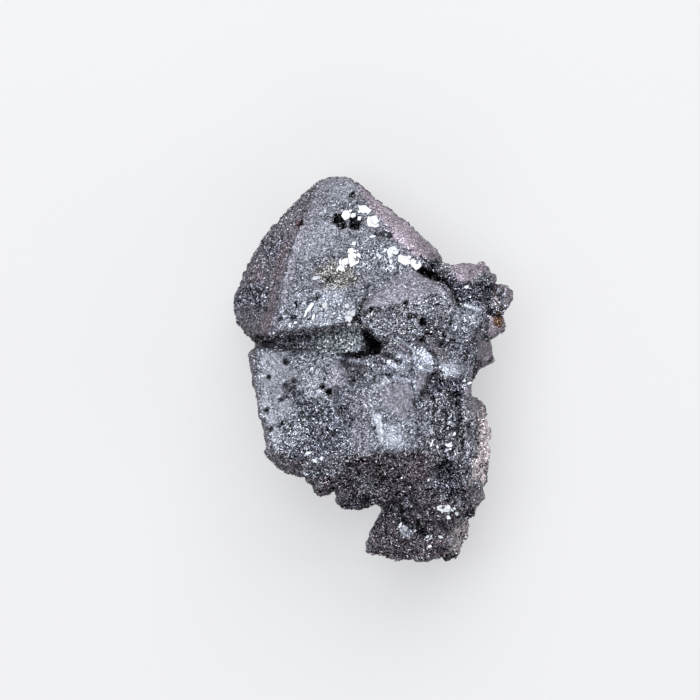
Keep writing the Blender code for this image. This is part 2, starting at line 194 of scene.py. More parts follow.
# Facets, each with its outline across the front. A later one lies over an earlier one.
facets = {
    "upperFront": dict(finish="iron", calm=0.3, cover=0.9, light=0.8, outline=[
        (-5, 20), (-2.2, 20), (-0.7, 18), (2.1, 13.6), (4, 11.9), (3.3, 10.5), (-0.5, 8.6),
        (-1.7, 5.4), (-2.4, 4.7), (-5.7, 4.1), (-10.6, 3.6), (-9.3, 9.7), (-8.7, 12.5),
        (-6.7, 16.9)]),
    "growthPlate": dict(finish="iron", calm=0.5, light=0.76, rise=0.05, soft=0.25, outline=[
        (-7.4, 15.2), (-5.7, 15.5), (-3.8, 14.6), (-3.6, 12.8), (-5.7, 11.7), (-8, 11.5),
        (-8.4, 12.7)]),
    "rightFacet": dict(finish="rose", calm=0.5, light=1.66, fray=2, soft=0.45, outline=[
        (-2.2, 19.9), (-1.1, 17.8), (1.7, 13.8), (4, 11.9), (5.9, 11), (6.6, 12.5), (3.6, 15.6),
        (0.5, 18.9)]),
    "grainyRight": dict(finish="paleBlue", calm=-0.1, cover=0.8, light=1.65, fray=2,
        soft=0.5, outline=[
        (-1.9, 13), (0.4, 13.2), (2.6, 11.8), (2.4, 10.4), (-1.6, 10.2)]),
    "apexCap": dict(finish="iron", calm=0.6, light=0.75, soft=0.5, outline=[
        (-5.2, 18.3), (-4.6, 20), (-2.4, 20), (-1.6, 18.8), (-2.6, 17.6), (-4.2, 17.4)]),
    "ridgeSmooth": dict(finish="mauve", calm=0.6, cover=0.8, outline=[
        (-6.5, 16.9), (-5.7, 19.2), (-5.1, 19.6), (-5.3, 17.5), (-6.9, 15), (-8, 11.5), (-8.6, 8.2),
        (-9.3, 4), (-10.4, 3.7), (-9.3, 9.7), (-8.7, 12.5), (-7.6, 15.2)]),
    "ridgeShade": dict(finish="purple", calm=0.45, cover=0.8, light=1.05, soft=0.2, outline=[
        (-6.7, 16.9), (-8.9, 12.5), (-9.5, 9.7), (-10.8, 3.6), (-12, 3.8), (-10.4, 9.7),
        (-9.4, 13.4)]),
    "leftRosy": dict(finish="purple", calm=0.35, cover=0.6, light=1.25, fray=2, soft=0.4, outline=[
        (-13, 10.6), (-12.2, 11.2), (-11.2, 10.6), (-11.3, 9), (-12.2, 8.4), (-13, 9.2)]),
    "leftSpeck": dict(finish="slate", calm=-0.6, cover=0.5, light=2.2, fray=2.2, soft=0.4,
        blotch=0.9, outline=[
        (-14.1, 8.6), (-12.5, 9), (-10.4, 8.9), (-10.9, 7.3), (-11.2, 6), (-12.6, 6.3),
        (-14.1, 6.9)]),
    "ridgeSpeck": dict(finish="slate", calm=-0.5, cover=0.45, light=2, fray=2, soft=0.4,
        blotch=0.8, outline=[
        (-11.8, 11.3), (-11, 12.9), (-9.8, 13.7), (-8.7, 14), (-9.5, 12.5), (-10.2, 11.4)]),
    "brightFoot": dict(finish="paleBlue", calm=0.2, cover=0.8, light=1.16, fray=1.5,
        soft=0.4, outline=[
        (-9, 7.4), (-3.9, 8.2), (-1.6, 7.2), (-1.7, 5.5), (-2.4, 4.8), (-5.7, 4.2), (-10.1, 3.8)]),
    "footPaleA": dict(finish="paleBlue", calm=0.5, cover=0.75, light=1.05, rise=0.05, fray=1.5,
        soft=0.4, outline=[
        (-5.6, 8.2), (-4, 8.5), (-2.9, 7.8), (-3.2, 6.9), (-5.2, 7)]),
    "footPaleB": dict(finish="paleBlue", calm=0.45, cover=0.75, light=1.05, rise=0.05, fray=1.5,
        soft=0.4, outline=[
        (-6.2, 5.8), (-4.6, 6.1), (-3.7, 5.7), (-3.9, 4.8), (-5.8, 4.6)]),
    "wedgeTop": dict(finish="mauve", calm=0.55, rise=0.06, light=1.12, outline=[
        (-1.6, 6), (0.7, 8.3), (3.3, 10.3), (4.6, 10.2), (7.7, 8.2), (7.9, 7.8), (5.4, 7.5),
        (2.5, 6.8)]),
    # light raised as painted fill light on this face turned down, away from the light
    "wedgeLow": dict(finish="iron", calm=-0.05, light=1.74, outline=[
        (-1.6, 5.6), (2.5, 6.4), (5.4, 7.1), (8, 7.4), (8.5, 6.6), (7.7, 4.9), (6.1, 3.7),
        (2.9, 2.7), (0.8, 2.7), (-0.8, 4.4)]),
    # greenish grey, its light raised as painted fill light in this recess under the overhang
    "innerBlock": dict(finish="green", light=3, outline=[
        (-5.7, 4), (-1.7, 4.9), (-0.9, 3.5), (-1.2, 1.9), (-3.7, 1.7), (-6.3, 2.3)]),
    # painted light and shade in the notch: slate for its shade, raised six-fold as fill light
    "notch": dict(finish="slate", calm=-0.3, light=6, blotch=0.6, outline=[
        (-10.6, 3.8), (-5.7, 4), (-6.3, 2.2), (-10.5, 2.6)]),
    "lowerFront": dict(finish="iron", calm=0.05, cover=0.8, light=1.04, outline=[
        (-11.6, 2.3), (-3.9, 2.2), (-2.5, 0.2), (-2.6, -8.4), (-5.7, -9.8), (-10.1, -8.6),
        (-11.9, -1.7)]),
    "lowerTop": dict(finish="paleBlue", calm=0.2, cover=0.7, light=0.77, soft=0.3, outline=[
        (-11.5, 2.3), (-7.6, 2.6), (-3.9, 2), (-2.4, 1.2), (-4.2, 0.5), (-8.6, 0.9), (-11.5, 1.1)]),
    "paleCheek": dict(finish="mauve", calm=0.5, cover=0.75, light=1.12, rise=0.08, fray=1.3,
        soft=0.35, outline=[
        (-4, 0.9), (-2.8, 0.7), (-2.4, -0.5), (-3.4, -2), (-4.8, -2.4), (-5.3, -1.6)]),
    "leftStrip": dict(finish="iron", calm=0.65, cover=0.85, light=0.82, soft=0.6, outline=[
        (-11.5, 2), (-9.1, 1.3), (-7.6, -0.3), (-8, -3.2), (-9.1, -6.3), (-10.1, -8), (-11.1, -6.3),
        (-11.9, -1.7)]),
    "midLeft": dict(finish="iron", calm=0.35, cover=0.75, light=1.17, fray=2, soft=0.5, outline=[
        (-7.2, 0.6), (-5.2, 1), (-5, -1.4), (-4.6, -3), (-6.8, -3.2), (-7.8, -1.4)]),
    "lowFace": dict(finish="lead", calm=0.15, cover=0.8, fray=1.5, soft=0.3, outline=[
        (-10.9, -8.5), (-9, -8.8), (-7.5, -9.8), (-6.3, -10.3), (-6.5, -11.2), (-8.2, -11.2),
        (-9.9, -10.5)]),
    "darkCluster": dict(finish="slate", calm=-0.5, cover=0.55, light=1.3, fray=2.5, soft=0.4,
        blotch=0.5, outline=[
        (-9.4, -1.9), (-8, -1.6), (-7.4, -2.6), (-8.2, -3.4), (-9.3, -3)]),
    # painted shade in a sunken cleft
    "darkCleft": dict(finish="slate", calm=-0.4, cover=0.7, rise=-0.12, fray=1.5, soft=0.3,
        blotch=0.5, outline=[
        (-2.5, -0.8), (-1.3, -0.9), (-0.9, -1.9), (-2, -2.3)]),
    "darkGrain": dict(finish="slate", calm=-0.45, cover=0.5, light=2.4, fray=2, soft=0.7,
        blotch=0.6, outline=[
        (-7.8, -3), (-4.5, -3.6), (-2.9, -6.3), (-3, -8.6), (-5.7, -9.6), (-8.6, -8.6),
        (-8.8, -5.8)]),
    "terrace": dict(finish="paleBlue", cover=0.7, light=1.2, fray=2, soft=0.4, outline=[
        (-9.4, -5.4), (-7.2, -5.2), (-6.6, -7.4), (-8.4, -8.2), (-9.6, -7.2)]),
    "valleyShade": dict(finish="slate", calm=-0.2, cover=0.4, light=2.1, fray=2.5,
        soft=0.5, outline=[
        (-4.4, -2.4), (-2.8, -2), (-2, -4.4), (-2.8, -7), (-4, -6.2)]),
    "centreFront": dict(finish="paleBlue", calm=0.2, cover=0.8, fray=2, soft=0.4, outline=[
        (-2.1, -0.2), (0.5, -0.6), (3.9, -0.9), (4.4, -4), (4.2, -8.3), (-2, -8.5), (-2.3, -5)]),
    "centreFace": dict(finish="mauve", calm=0.5, light=0.99, rise=0.04, fray=1.5,
        soft=0.6, outline=[
        (0.5, -1.6), (2.2, -0.9), (3.9, -1.3), (4.2, -3.2), (3.6, -5.1), (2, -4.9), (0.7, -3.4)]),
    "leftCentre": dict(finish="mauve", calm=0.35, cover=0.8, light=0.92, fray=2, soft=0.4, outline=[
        (-2.2, -2.8), (-0.9, -2.4), (0.1, -4.2), (0.5, -7.4), (-0.1, -8.3), (-1.8, -8.2),
        (-2.4, -5.3)]),
    "bluePatch": dict(finish="paleBlue", calm=0.55, light=1.03, rise=0.12, fray=1.5,
        soft=0.5, outline=[
        (1.1, -5.4), (2.6, -5.5), (3.1, -8), (2.1, -8.7), (1, -8)]),
    "paleFoot": dict(finish="paleBlue", calm=0.5, cover=0.7, rise=0.05, fray=1.5,
        soft=0.45, outline=[
        (-0.9, -6.1), (0.4, -5.8), (0.6, -8.1), (0.2, -8.6), (-0.8, -8.4)]),
    # pale blue knob top, its light raised as a painted highlight
    "knobLeft": dict(finish="paleBlue", calm=0.45, light=1.6, soft=0.35, blotch=0, outline=[
        (1.3, 0.9), (2.8, 1.6), (3.9, 1.1), (3.8, -0.5), (2.4, -1), (1.1, -0.5)]),
    "knobShade": dict(finish="slate", calm=-0.3, cover=0.7, light=2.3, fray=1.8, soft=0.35,
        blotch=0.6, outline=[
        (1.2, -0.5), (2.6, -0.35), (3.7, -0.3), (3.8, -1.2), (2.8, -1.5), (1.4, -1.2)]),
    # pale blue knob top, its light raised as a painted highlight
    "knobMiddle": dict(finish="paleBlue", calm=0.5, light=1.6, rise=0.15, soft=0.3, outline=[
        (4.1, 2), (5.3, 2.4), (6.1, 1.6), (6.1, 0), (5.2, -0.5), (4.1, -0.3)]),
    "tooth": dict(finish="mauve", calm=0.5, light=1.15, fray=0.7, soft=0.2, outline=[
        (3.9, -0.3), (5.9, -0.2), (5.5, -1.2), (5.05, -2.2), (4.65, -2.6), (4.2, -2.3), (4, -1.2)]),
    # pale blue knob top, its light raised as a painted highlight
    "knobRight": dict(finish="paleBlue", calm=0.45, light=1.4, soft=0.4, outline=[
        (6.7, 0.6), (8.2, 0.9), (9.2, 0.3), (8.8, -0.9), (7.2, -0.9)]),
    "litFace": dict(finish="paleBlue", calm=0.25, cover=0.9, light=1.38, rise=0.15, fray=1.5,
        soft=0.35, outline=[
        (8.3, 6.5), (9.5, 6.9), (11.2, 6.5), (11.6, 5.2), (11, 4.1), (9.6, 3.7), (8.4, 4.2)]),
    "sideShade": dict(finish="slate", calm=-0.3, cover=0.5, light=2.3, fray=2.2, soft=0.4,
        blotch=0.8, outline=[
        (8.6, 4), (9.6, 3.6), (11, 4.2), (11.2, 2.8), (10.6, 1), (9.2, 0.8), (8.4, 2.2)]),
    "lumpPatch": dict(finish="rose", calm=0.6, light=1.28, rise=0.06, soft=0.35, outline=[
        (7.6, 11.3), (9, 11.5), (11, 11.1), (11.3, 9.9), (10.2, 9), (9.1, 8.9), (8.3, 9.9)]),
    "lumpRim": dict(finish="rose", calm=0.5, light=1.15, soft=0.2, outline=[
        (10.5, 11.2), (11.3, 11.5), (12.2, 11.2), (12.9, 10), (13.2, 8.8), (12.5, 8.6), (12.2, 9.8),
        (11.5, 10.5), (10.6, 10.4)]),
    "knobRim": dict(finish="rose", calm=0.45, soft=0.2, outline=[
        (13.6, 8.9), (14.4, 8.7), (14.7, 7.6), (14.3, 6.4), (13.8, 5.8), (13.5, 6.4), (13.8, 7.6),
        (13.4, 8.4)]),
    "rubble": dict(finish="slate", calm=-0.35, rise=-0.3, light=1.85, soft=0.35,
        blotch=0.7, outline=[
        (6.6, 9.5), (8.6, 8.8), (10.9, 8.8), (12.4, 8.6), (12.3, 7.2), (10.7, 6.8), (8.8, 6.8),
        (7.6, 8)]),
    "paleSeam": dict(finish="crust", calm=0.2, cover=0.8, light=0.9, fray=0.8, outline=[
        (12.4, 8.1), (12.8, 8), (12.9, 6.7), (12.5, 6.6)]),
    "lobeRim": dict(finish="rose", calm=0.5, light=1.15, soft=0.2, outline=[
        (11.9, 6), (12.5, 6.1), (12.7, 4.6), (13.4, 4.4), (13.8, 5.3), (13.9, 4.1), (13.2, 3.2),
        (12.2, 2.9), (11.7, 4)]),
    "rosyLobe": dict(finish="rose", calm=0.6, light=0.92, fray=1.2, soft=0.2, outline=[
        (11, 3), (12.3, 3.1), (13.1, 2), (13, 0.8), (12.3, -0.3), (11.2, 0.1), (10.8, 1.5)]),
    # painted light and shade in the bay: slate for its shade, raised 3.2-fold as fill light
    "bay": dict(finish="slate", calm=-0.4, light=3.2, rise=-0.5, soft=0.3, blotch=0.9, outline=[
        (6, -0.7), (7.5, -1.1), (9.1, -0.9), (9.4, -2.6), (7.8, -3.2), (5.9, -2.9)]),
    "rows": dict(finish="iron", calm=-0.35, cover=0.75, light=1.42, fray=2, soft=0.6,
        blotch=1, outline=[
        (5.6, -2.8), (9.6, -2.8), (10.2, -8.4), (9, -9.2), (6, -9)]),
    "rightCrust": dict(finish="crust", calm=0.2, light=2.05, fray=2.6, soft=0.35,
        blotch=0.7, outline=[
        (10.9, -4.2), (12, -4.2), (12.8, -6.3), (12.8, -10.8), (11.6, -12), (9.9, -11.6),
        (10.3, -9.4), (10.9, -7.6)]),
    "lowCrust": dict(finish="crust", cover=0.4, fray=2.5, soft=0.4, outline=[
        (10.9, -2.8), (11.9, -2.4), (12, -4.4), (11, -4.4)]),
    "lowLobe": dict(finish="rose", calm=0.3, cover=0.8, light=0.95, fray=1.5, soft=0.3, outline=[
        (9.7, -12.3), (11.2, -12), (11.7, -13.3), (11.2, -14.4), (9.8, -14.7)]),
    # painted shade in a sunken hollow, with a bluish hue
    "blueHollow": dict(finish="slate", calm=-0.6, rise=-0.3, light=1.55, soft=0.35,
        blotch=0.8, outline=[
        (6.6, -9.6), (8.2, -9.2), (9.2, -10.5), (9, -12.7), (7.8, -13.6), (6.8, -12.5)]),
    "lowLit": dict(finish="iron", calm=-0.2, cover=0.8, light=1.3, fray=2, soft=0.5, outline=[
        (-6.7, -9.2), (-3, -8.6), (-2.6, -10.4), (-4.2, -11.2), (-6.8, -10.8)]),
    "beadLit": dict(finish="iron", calm=-0.2, cover=0.6, fray=2, soft=0.5, outline=[
        (-2.2, -11.4), (0.2, -11), (0.4, -12.6), (-1.6, -13)]),
    "underPale": dict(finish="purple", calm=-0.1, cover=0.7, light=1.35, soft=0.6, outline=[
        (2.8, -8.9), (6.1, -8.6), (6.1, -11.5), (4, -12.5), (2.6, -11.3)]),
    "footFront": dict(finish="brown", calm=-0.2, cover=0.75, fray=1.5, soft=0.4, outline=[
        (1.2, -13.4), (8.6, -13.2), (9, -15.6), (8, -17.4), (8, -19.8), (0, -19.4), (0.2, -16)]),
    # painted shade in the foot's sunken hollow
    "footHollow": dict(finish="paintedShade", calm=-0.3, cover=0.35, light=3.2, rise=-0.25, fray=1.5,
        soft=0.4, outline=[
        (0.9, -13.7), (3.9, -13.2), (4.1, -15), (2.4, -15.5), (1.1, -15.1)]),
    "beadShade": dict(finish="paintedShade", calm=-0.3, cover=0.5, light=2.2, fray=1.5, soft=0.4,
        blotch=0.6, outline=[
        (-3.2, -12.9), (-1.2, -12.8), (0.8, -13.3), (0.9, -14.3), (-1.6, -14.7), (-3, -14.3)]),
    "footBlue": dict(finish="paleBlue", calm=0.1, cover=0.9, light=1.7, soft=0.2, outline=[
        (2.6, -15.9), (3.4, -15.7), (4.1, -16.4), (4, -17.1), (3.2, -17.3), (2.6, -16.7)]),
    "footCrust": dict(finish="crust", calm=0.2, cover=0.75, fray=2, soft=0.35, outline=[
        (7.8, -17.3), (8.8, -15.6), (10.1, -15.9), (9.6, -19), (7.8, -19.6)]),
    "oliveStain": dict(finish="olive", calm=-0.2, cover=0.6, light=2.1, fray=3, soft=0.6, outline=[
        (-6, 10.2), (-4.4, 11.2), (-2.6, 10.6), (-1.6, 9.4), (-2.8, 8.6), (-5, 8.6)]),
    "ochreSpot": dict(finish="ochre", calm=0.2, rise=-0.1, outline=[
        (12.5, 5.4), (13, 6), (13.5, 5.6), (13.5, 4.7), (13, 4.3), (12.6, 4.6)]),
    "rustPit": dict(finish="rust", fray=0.3, outline=[
        (-7.9, 15.3), (-7.5, 15.5), (-7.3, 15.1), (-7.6, 14.7), (-7.9, 14.9)]),
}

# Creases cut along a path across the front, with painted shade in them, and crests, whose deep is
# below 0, with a pale painted highlight along them. wide is half of the width.
strokes = {
    "wedgeGroove": dict(wide=0.2, deep=0.25, cover=0.5, path=[(-0.5, 8.5), (-1, 7), (-1.7, 5.4)]),
    # painted shadow under the upper crystal's overhanging edge
    "notchBrow": dict(wide=0.4, deep=0.3, cover=0.3, path=[
        (-10.4, 3.2), (-5.7, 3.5), (-2.8, 4.3), (-1.7, 5.1)]),
    "lowerRim": dict(wide=0.16, deep=-0.05, light=2.1, calm=-0.3, path=[
        (-11.3, 2.1), (-8.6, 2.4), (-6.2, 2.3), (-4.2, 1.7), (-3, 1.1)]),
    "blackHole": dict(wide=0.56, deep=0.8, cover=0.2, path=[
        (-0.6, 3.6), (-0.1, 2.9), (0.4, 2.4), (0.8, 1.9)]),
    "blockShade": dict(wide=0.24, deep=0.3, path=[
        (-3.4, 1.5), (-1.8, 1.5), (-0.4, 1.7), (0.5, 1.9)]),
    "knobFoot": dict(wide=0.3, deep=0.12, cover=0.4, path=[(1.9, -0.7), (2.8, -0.95), (3.5, -0.8)]),
    "footCleft": dict(wide=0.34, deep=0.45, path=[(4.6, -15.7), (5.1, -16.4), (5.3, -17.1)]),
    "lobeCrack": dict(wide=0.18, deep=0.25, path=[(12, 0.8), (12.5, 1.3), (12.8, 1.9)]),
    "creaseBC": dict(wide=0.26, deep=0.4, path=[(12, 8.3), (12.6, 8.7), (13.4, 9.2)]),
    "holeTail": dict(wide=0.35, deep=0.4, path=[(0.8, 1.8), (2, 1.2), (2.8, 0.7)]),
    "slotUpper": dict(wide=0.32, deep=0.5, path=[(4.1, 10.7), (5.3, 10.1), (6.7, 9)]),
    "slitUpper": dict(wide=0.16, deep=0.3, path=[(5, 11.7), (6.2, 10.6)]),
    "browSlit": dict(wide=0.22, deep=0.25, cover=0.45, path=[
        (0.4, 14), (1.1, 14.05), (1.8, 13.75)]),
    "footCrackA": dict(wide=0.22, deep=0.2, cover=0.45, path=[(-8.9, 6), (-8.4, 5.4), (-7.9, 5.1)]),
    "footCrackB": dict(wide=0.2, deep=0.2, cover=0.45, path=[(-8.1, 7.1), (-7.6, 6.6)]),
    "smallSlit": dict(wide=0.22, deep=0.3, cover=0.5, path=[(-6.7, 7.1), (-6, 7.3), (-5.4, 7.7)]),
    "gapWedge": dict(wide=0.16, deep=0.1, cover=0.2, path=[
        (8.3, 6.3), (8, 5), (7.3, 3.9), (6.2, 3.6), (5.4, 3.9)]),
    "gapRubble": dict(wide=0.3, deep=0.35, path=[(6.9, 9.2), (8.2, 7.6), (8.9, 6.8)]),
    "creaseCD": dict(wide=0.25, deep=0.5, path=[(11.4, 7.2), (12.1, 5.9), (13.2, 5.6)]),
    "creaseDE": dict(wide=0.24, deep=0.5, path=[(11.3, 3.3), (12.2, 3.1), (13.1, 2.8)]),
    "creaseUnderE": dict(wide=0.3, deep=0.5, path=[(10.8, 0.1), (12.1, -0.5)]),
    "knobSlit": dict(wide=0.25, deep=0.5, path=[(5.8, 2), (6.5, 1.5)]),
    "knobSeam": dict(wide=0.17, deep=0.2, cover=0.45, path=[
        (5.75, -1.1), (5.35, -2), (4.85, -2.75)]),
    "toothRim": dict(wide=0.12, deep=-0.06, light=1.4, path=[
        (4.15, -1.3), (4.35, -2.1), (4.65, -2.45)]),
    "sideGroove": dict(wide=0.4, deep=0.2, cover=0.15, path=[
        (4.5, -3.2), (4.7, -5.3), (4.4, -7.5)]),
    "valley": dict(wide=0.5, deep=0.3, cover=0.2, path=[(-3.8, -2.2), (-3.2, -4), (-2.8, -5.6)]),
    "rowGrooveA": dict(wide=0.35, deep=0.4, cover=0.5, path=[
        (6.1, -2.8), (6.9, -4.5), (6.5, -6.3), (7.4, -8.2)]),
    "rowGrooveB": dict(wide=0.3, deep=0.4, path=[(8.6, -3.2), (9, -5.3), (8.6, -7.4)]),
    "footGroove": dict(wide=0.35, deep=0.45, path=[
        (2.6, -13.6), (3, -15.6), (4.7, -16.7), (5.5, -17)]),
    "footTopSeam": dict(wide=0.3, deep=0.3, cover=0.25, path=[
        (2.4, -14.8), (4.9, -14.4), (7.8, -13.6)]),
    "plateStep": dict(wide=0.14, deep=0.1, cover=0.35, path=[
        (-7.7, 14.8), (-8.5, 12.8), (-8.9, 11.5), (-9.2, 9.7)]),
    "ledge": dict(wide=0.14, deep=-0.06, path=[(-7.6, 15.1), (-5.7, 15.5), (-3.8, 14.6)]),
    "arcBright": dict(wide=0.16, deep=-0.08, light=1.4, path=[
        (-0.9, -3.6), (-0.2, -4.6), (0.2, -5.7)]),
    "streakA": dict(wide=0.16, deep=-0.1, light=1.4, path=[(-0.5, -2.6), (0.1, -4.5), (0.6, -7.2)]),
    "streakB": dict(wide=0.26, deep=-0.05, light=2.1, path=[
        (0.5, -4.7), (0.7, -5.8), (0.75, -7.2)]),
    "blockRim": dict(wide=0.14, deep=-0.1, light=1.8, path=[(-3.7, 1.2), (-2.2, 1), (-0.3, 0.6)]),
    "wedgeStreak": dict(wide=0.12, deep=-0.1, light=1.8, path=[(2.6, 3.2), (3.4, 2.5), (4.1, 2)]),
    "litRim": dict(wide=0.25, deep=-0.1, light=1.9, path=[(9.4, 6.7), (10.8, 6.2)]),
    "centreRim": dict(wide=0.25, deep=-0.04, path=[(0.3, -1.6), (2.4, -0.8), (4, -1.2)]),
}

# Colours that come from the way a face looks, all round the specimen: none below low, all above
# high. "down" and "left" are painted shade on faces turned away from the light, with a brown and a
# lead-grey hue, and "upRight" is a rose hue, partly a painted pink reflected light on faces turned
# up and to the right.
leanings = {
    "down": dict(way=(0, -1, 0.15), low=0.4, high=0.65, finish="brown", calm=-0.7, cover=0.9),
    "left": dict(way=(-1, 0.1, 0.1), low=0.45, high=0.7, finish="lead", calm=0.2, cover=0.8),
    "upRight": dict(way=(0.7, 0.7, 0.1), low=0.6, high=0.8, finish="rose", calm=0.4, cover=0.8),
    "back": dict(way=(0, 0, -1), low=0.1, high=0.7, finish="slate", cover=0.6),
}

# Patches of their own finish on the sides and the back, each as large as a crystal's face.
sidePlan = {
    "size": 3.0,
    "fray": 0.7,
    "from": 0.02,  # how far the patches reach round to the front
    "fade": 0.15,
    "cover": 0.6,
    "finishes": {"iron": 0.5, "rose": 0.35, "slate": -0.2, "mauve": 0.6, "lead": -0.1},  # and calm
    "seed": 15,
}

paintPlan = {
    "ragged": ((1.5, 0.26, 3), (0.5, 0.2, 4), (0.22, 0.12, 6)),  # size, strength, seed
    "fray": 0.7,  # how far a facet's edge follows the ragged noise
    "strokeFray": 0.9,
    "leanFray": 0.3,
    "facing": (0.0, 0.35),  # which way a face looks where the front's zones begin and are whole
    "strokeEdge": (-1.3, -0.4),  # where a stroke begins and is whole, in half widths
    "clumps": ((0.62, 1.0, 9), (0.3, 0.6, 10)),  # of dark grains
    "clumpEdge": (0.15, 0.65),  # noise where a clump begins and is whole
    "clumpCalm": 1.3,  # how soon calm clears them away
    "clumpDark": 0.85,
    "clumpDeep": 0.16,
    "between": 0.12,  # how much brighter it is between them
    "uneven": ((2.6, 0.14, 7), (1.1, 0.14, 8)),  # broad changes of brightness
}


# Linear tint, calm and rise at each point, from the zones and the way it looks.
def paint(points, normals):
    plan = paintPlan
    flat = points[:, :2]
    tint = np.tile(np.array(palette["iron"]), (len(points), 1))
    calm = np.zeros(len(points))
    rise = np.zeros(len(points))
    blotch = np.full(len(points), usual["facet"]["blotch"])
    ragged = layered(points, plan["ragged"])

    def coat(weight, zone):  # brings tint and calm towards the zone's own
        weight = weight * zone["cover"]
        tint[:] += (np.array(palette[zone["finish"]]) * zone["light"] - tint) * weight[:, None]
        calm[:] += (zone["calm"] - calm) * weight

    for lean in leanings.values():
        way = np.array(lean["way"], float)
        toward = normals @ (way / np.linalg.norm(way)) + ragged * plan["leanFray"]
        coat(eased(toward, lean["low"], lean["high"]), usual["lean"] | lean)
    side = sidePlan
    chance = cells(points + ragged[:, None] * side["fray"], side["size"], side["seed"])[1][:, 0]
    hidden = 1 - eased(normals[:, 2], side["from"], side["from"] + side["fade"])
    for number, (finish, smooth) in enumerate(side["finishes"].items()):
        chosen = (chance * len(side["finishes"])).astype(int) == number
        coat(chosen * hidden, dict(finish=finish, calm=smooth, cover=side["cover"], light=1.0))
    facing = eased(normals[:, 2], *plan["facing"])
    for row in facets.values():
        facet = usual["facet"] | row
        edge = insideBy(flat, facet["outline"]) + ragged * plan["fray"] * facet["fray"]
        weight = facing * eased(edge, -facet["soft"], facet["soft"])
        coat(weight, facet)
        rise += facet["rise"] * weight
        blotch += (facet["blotch"] - blotch) * weight
    for row in strokes.values():
        stroke = usual["crease" if row["deep"] > 0 else "crest"] | row
        away = awayFrom(flat, stroke["path"]) / stroke["wide"] + ragged * plan["strokeFray"]
        weight = facing * eased(-away, *plan["strokeEdge"])
        coat(weight, stroke)
        rise -= stroke["deep"] * weight
        blotch *= 1 - weight
    clump = eased(layered(points, plan["clumps"]), *plan["clumpEdge"])
    dark = clump * blotch * np.clip(1 - calm * plan["clumpCalm"], 0, 1)
    tint *= (1 + blotch * plan["between"] - dark * plan["clumpDark"])[:, None]
    rise -= dark * plan["clumpDeep"]
    return tint * (1 + layered(points, plan["uneven"]))[:, None], calm, rise


# The skin: the solid's own surface, worn and granular.

skinPlan = {
    "name": "specimen_skin",
    "weld": 1e-6,  # metres
    "voxel": 0.22,
    "wearPasses": 2,  # each pass rounds the edges a little more
    "broadPasses": 6,  # and these smooth the normals that the relief stands along
    # size, height and seed of each layer of relief
    "swell": (2.6, 0.10, 21),  # broad unevenness
    "cobbles": (1.25, 0.16, 25),  # rounded knobs with gaps between, where it is knobbly
    "crystals": (2.6, 0.6, 26),  # broad crystal faces on the back
    "lumps": (1.9, 0.26, 24),  # on the leaning and hidden sides
    "blocks": (0.95, 0.15, 22),  # the larger crystal facets
    "chips": (0.46, 0.08, 23),  # and the smaller ones
    "cobbleRound": 0.3,  # how far a cobble reaches, as a squared share of its size
    "crystalTop": 0.25,  # where the back's crystal faces are cut level
    "behind": (-0.5, -0.12),  # which way a face looks where the back is whole and ends
    "offFloor": (0.3, 1.5),  # heights where the back's crystals begin and are whole
    "leaning": (0.2, 0.7),  # which way a face looks where the lumps are whole and end
    "bareLumps": 0.3,  # the lumps' share where it isn't knobbly
    "blockBias": 1.5,  # how strongly the blocks keep to the rough places
    "grain": 0.024,  # height of single grains
    "calmGrain": 0.12,  # their share where it is smooth
    "slide": 0.027,  # how far grains sit from an even spacing
    "ringPasses": 8,  # how wide a ring a point is compared with, for its hollow and crest
    # hollows and pits are darkened in the finish as painted shade
    "hollow": (0.02, 0.26),  # depths below that ring where a hollow begins and is whole
    "hollowShade": 0.85,  # how dark such a hollow is beside a pit
    "crest": (0.04, 0.2),  # and heights above it
    "seed": 7,
}

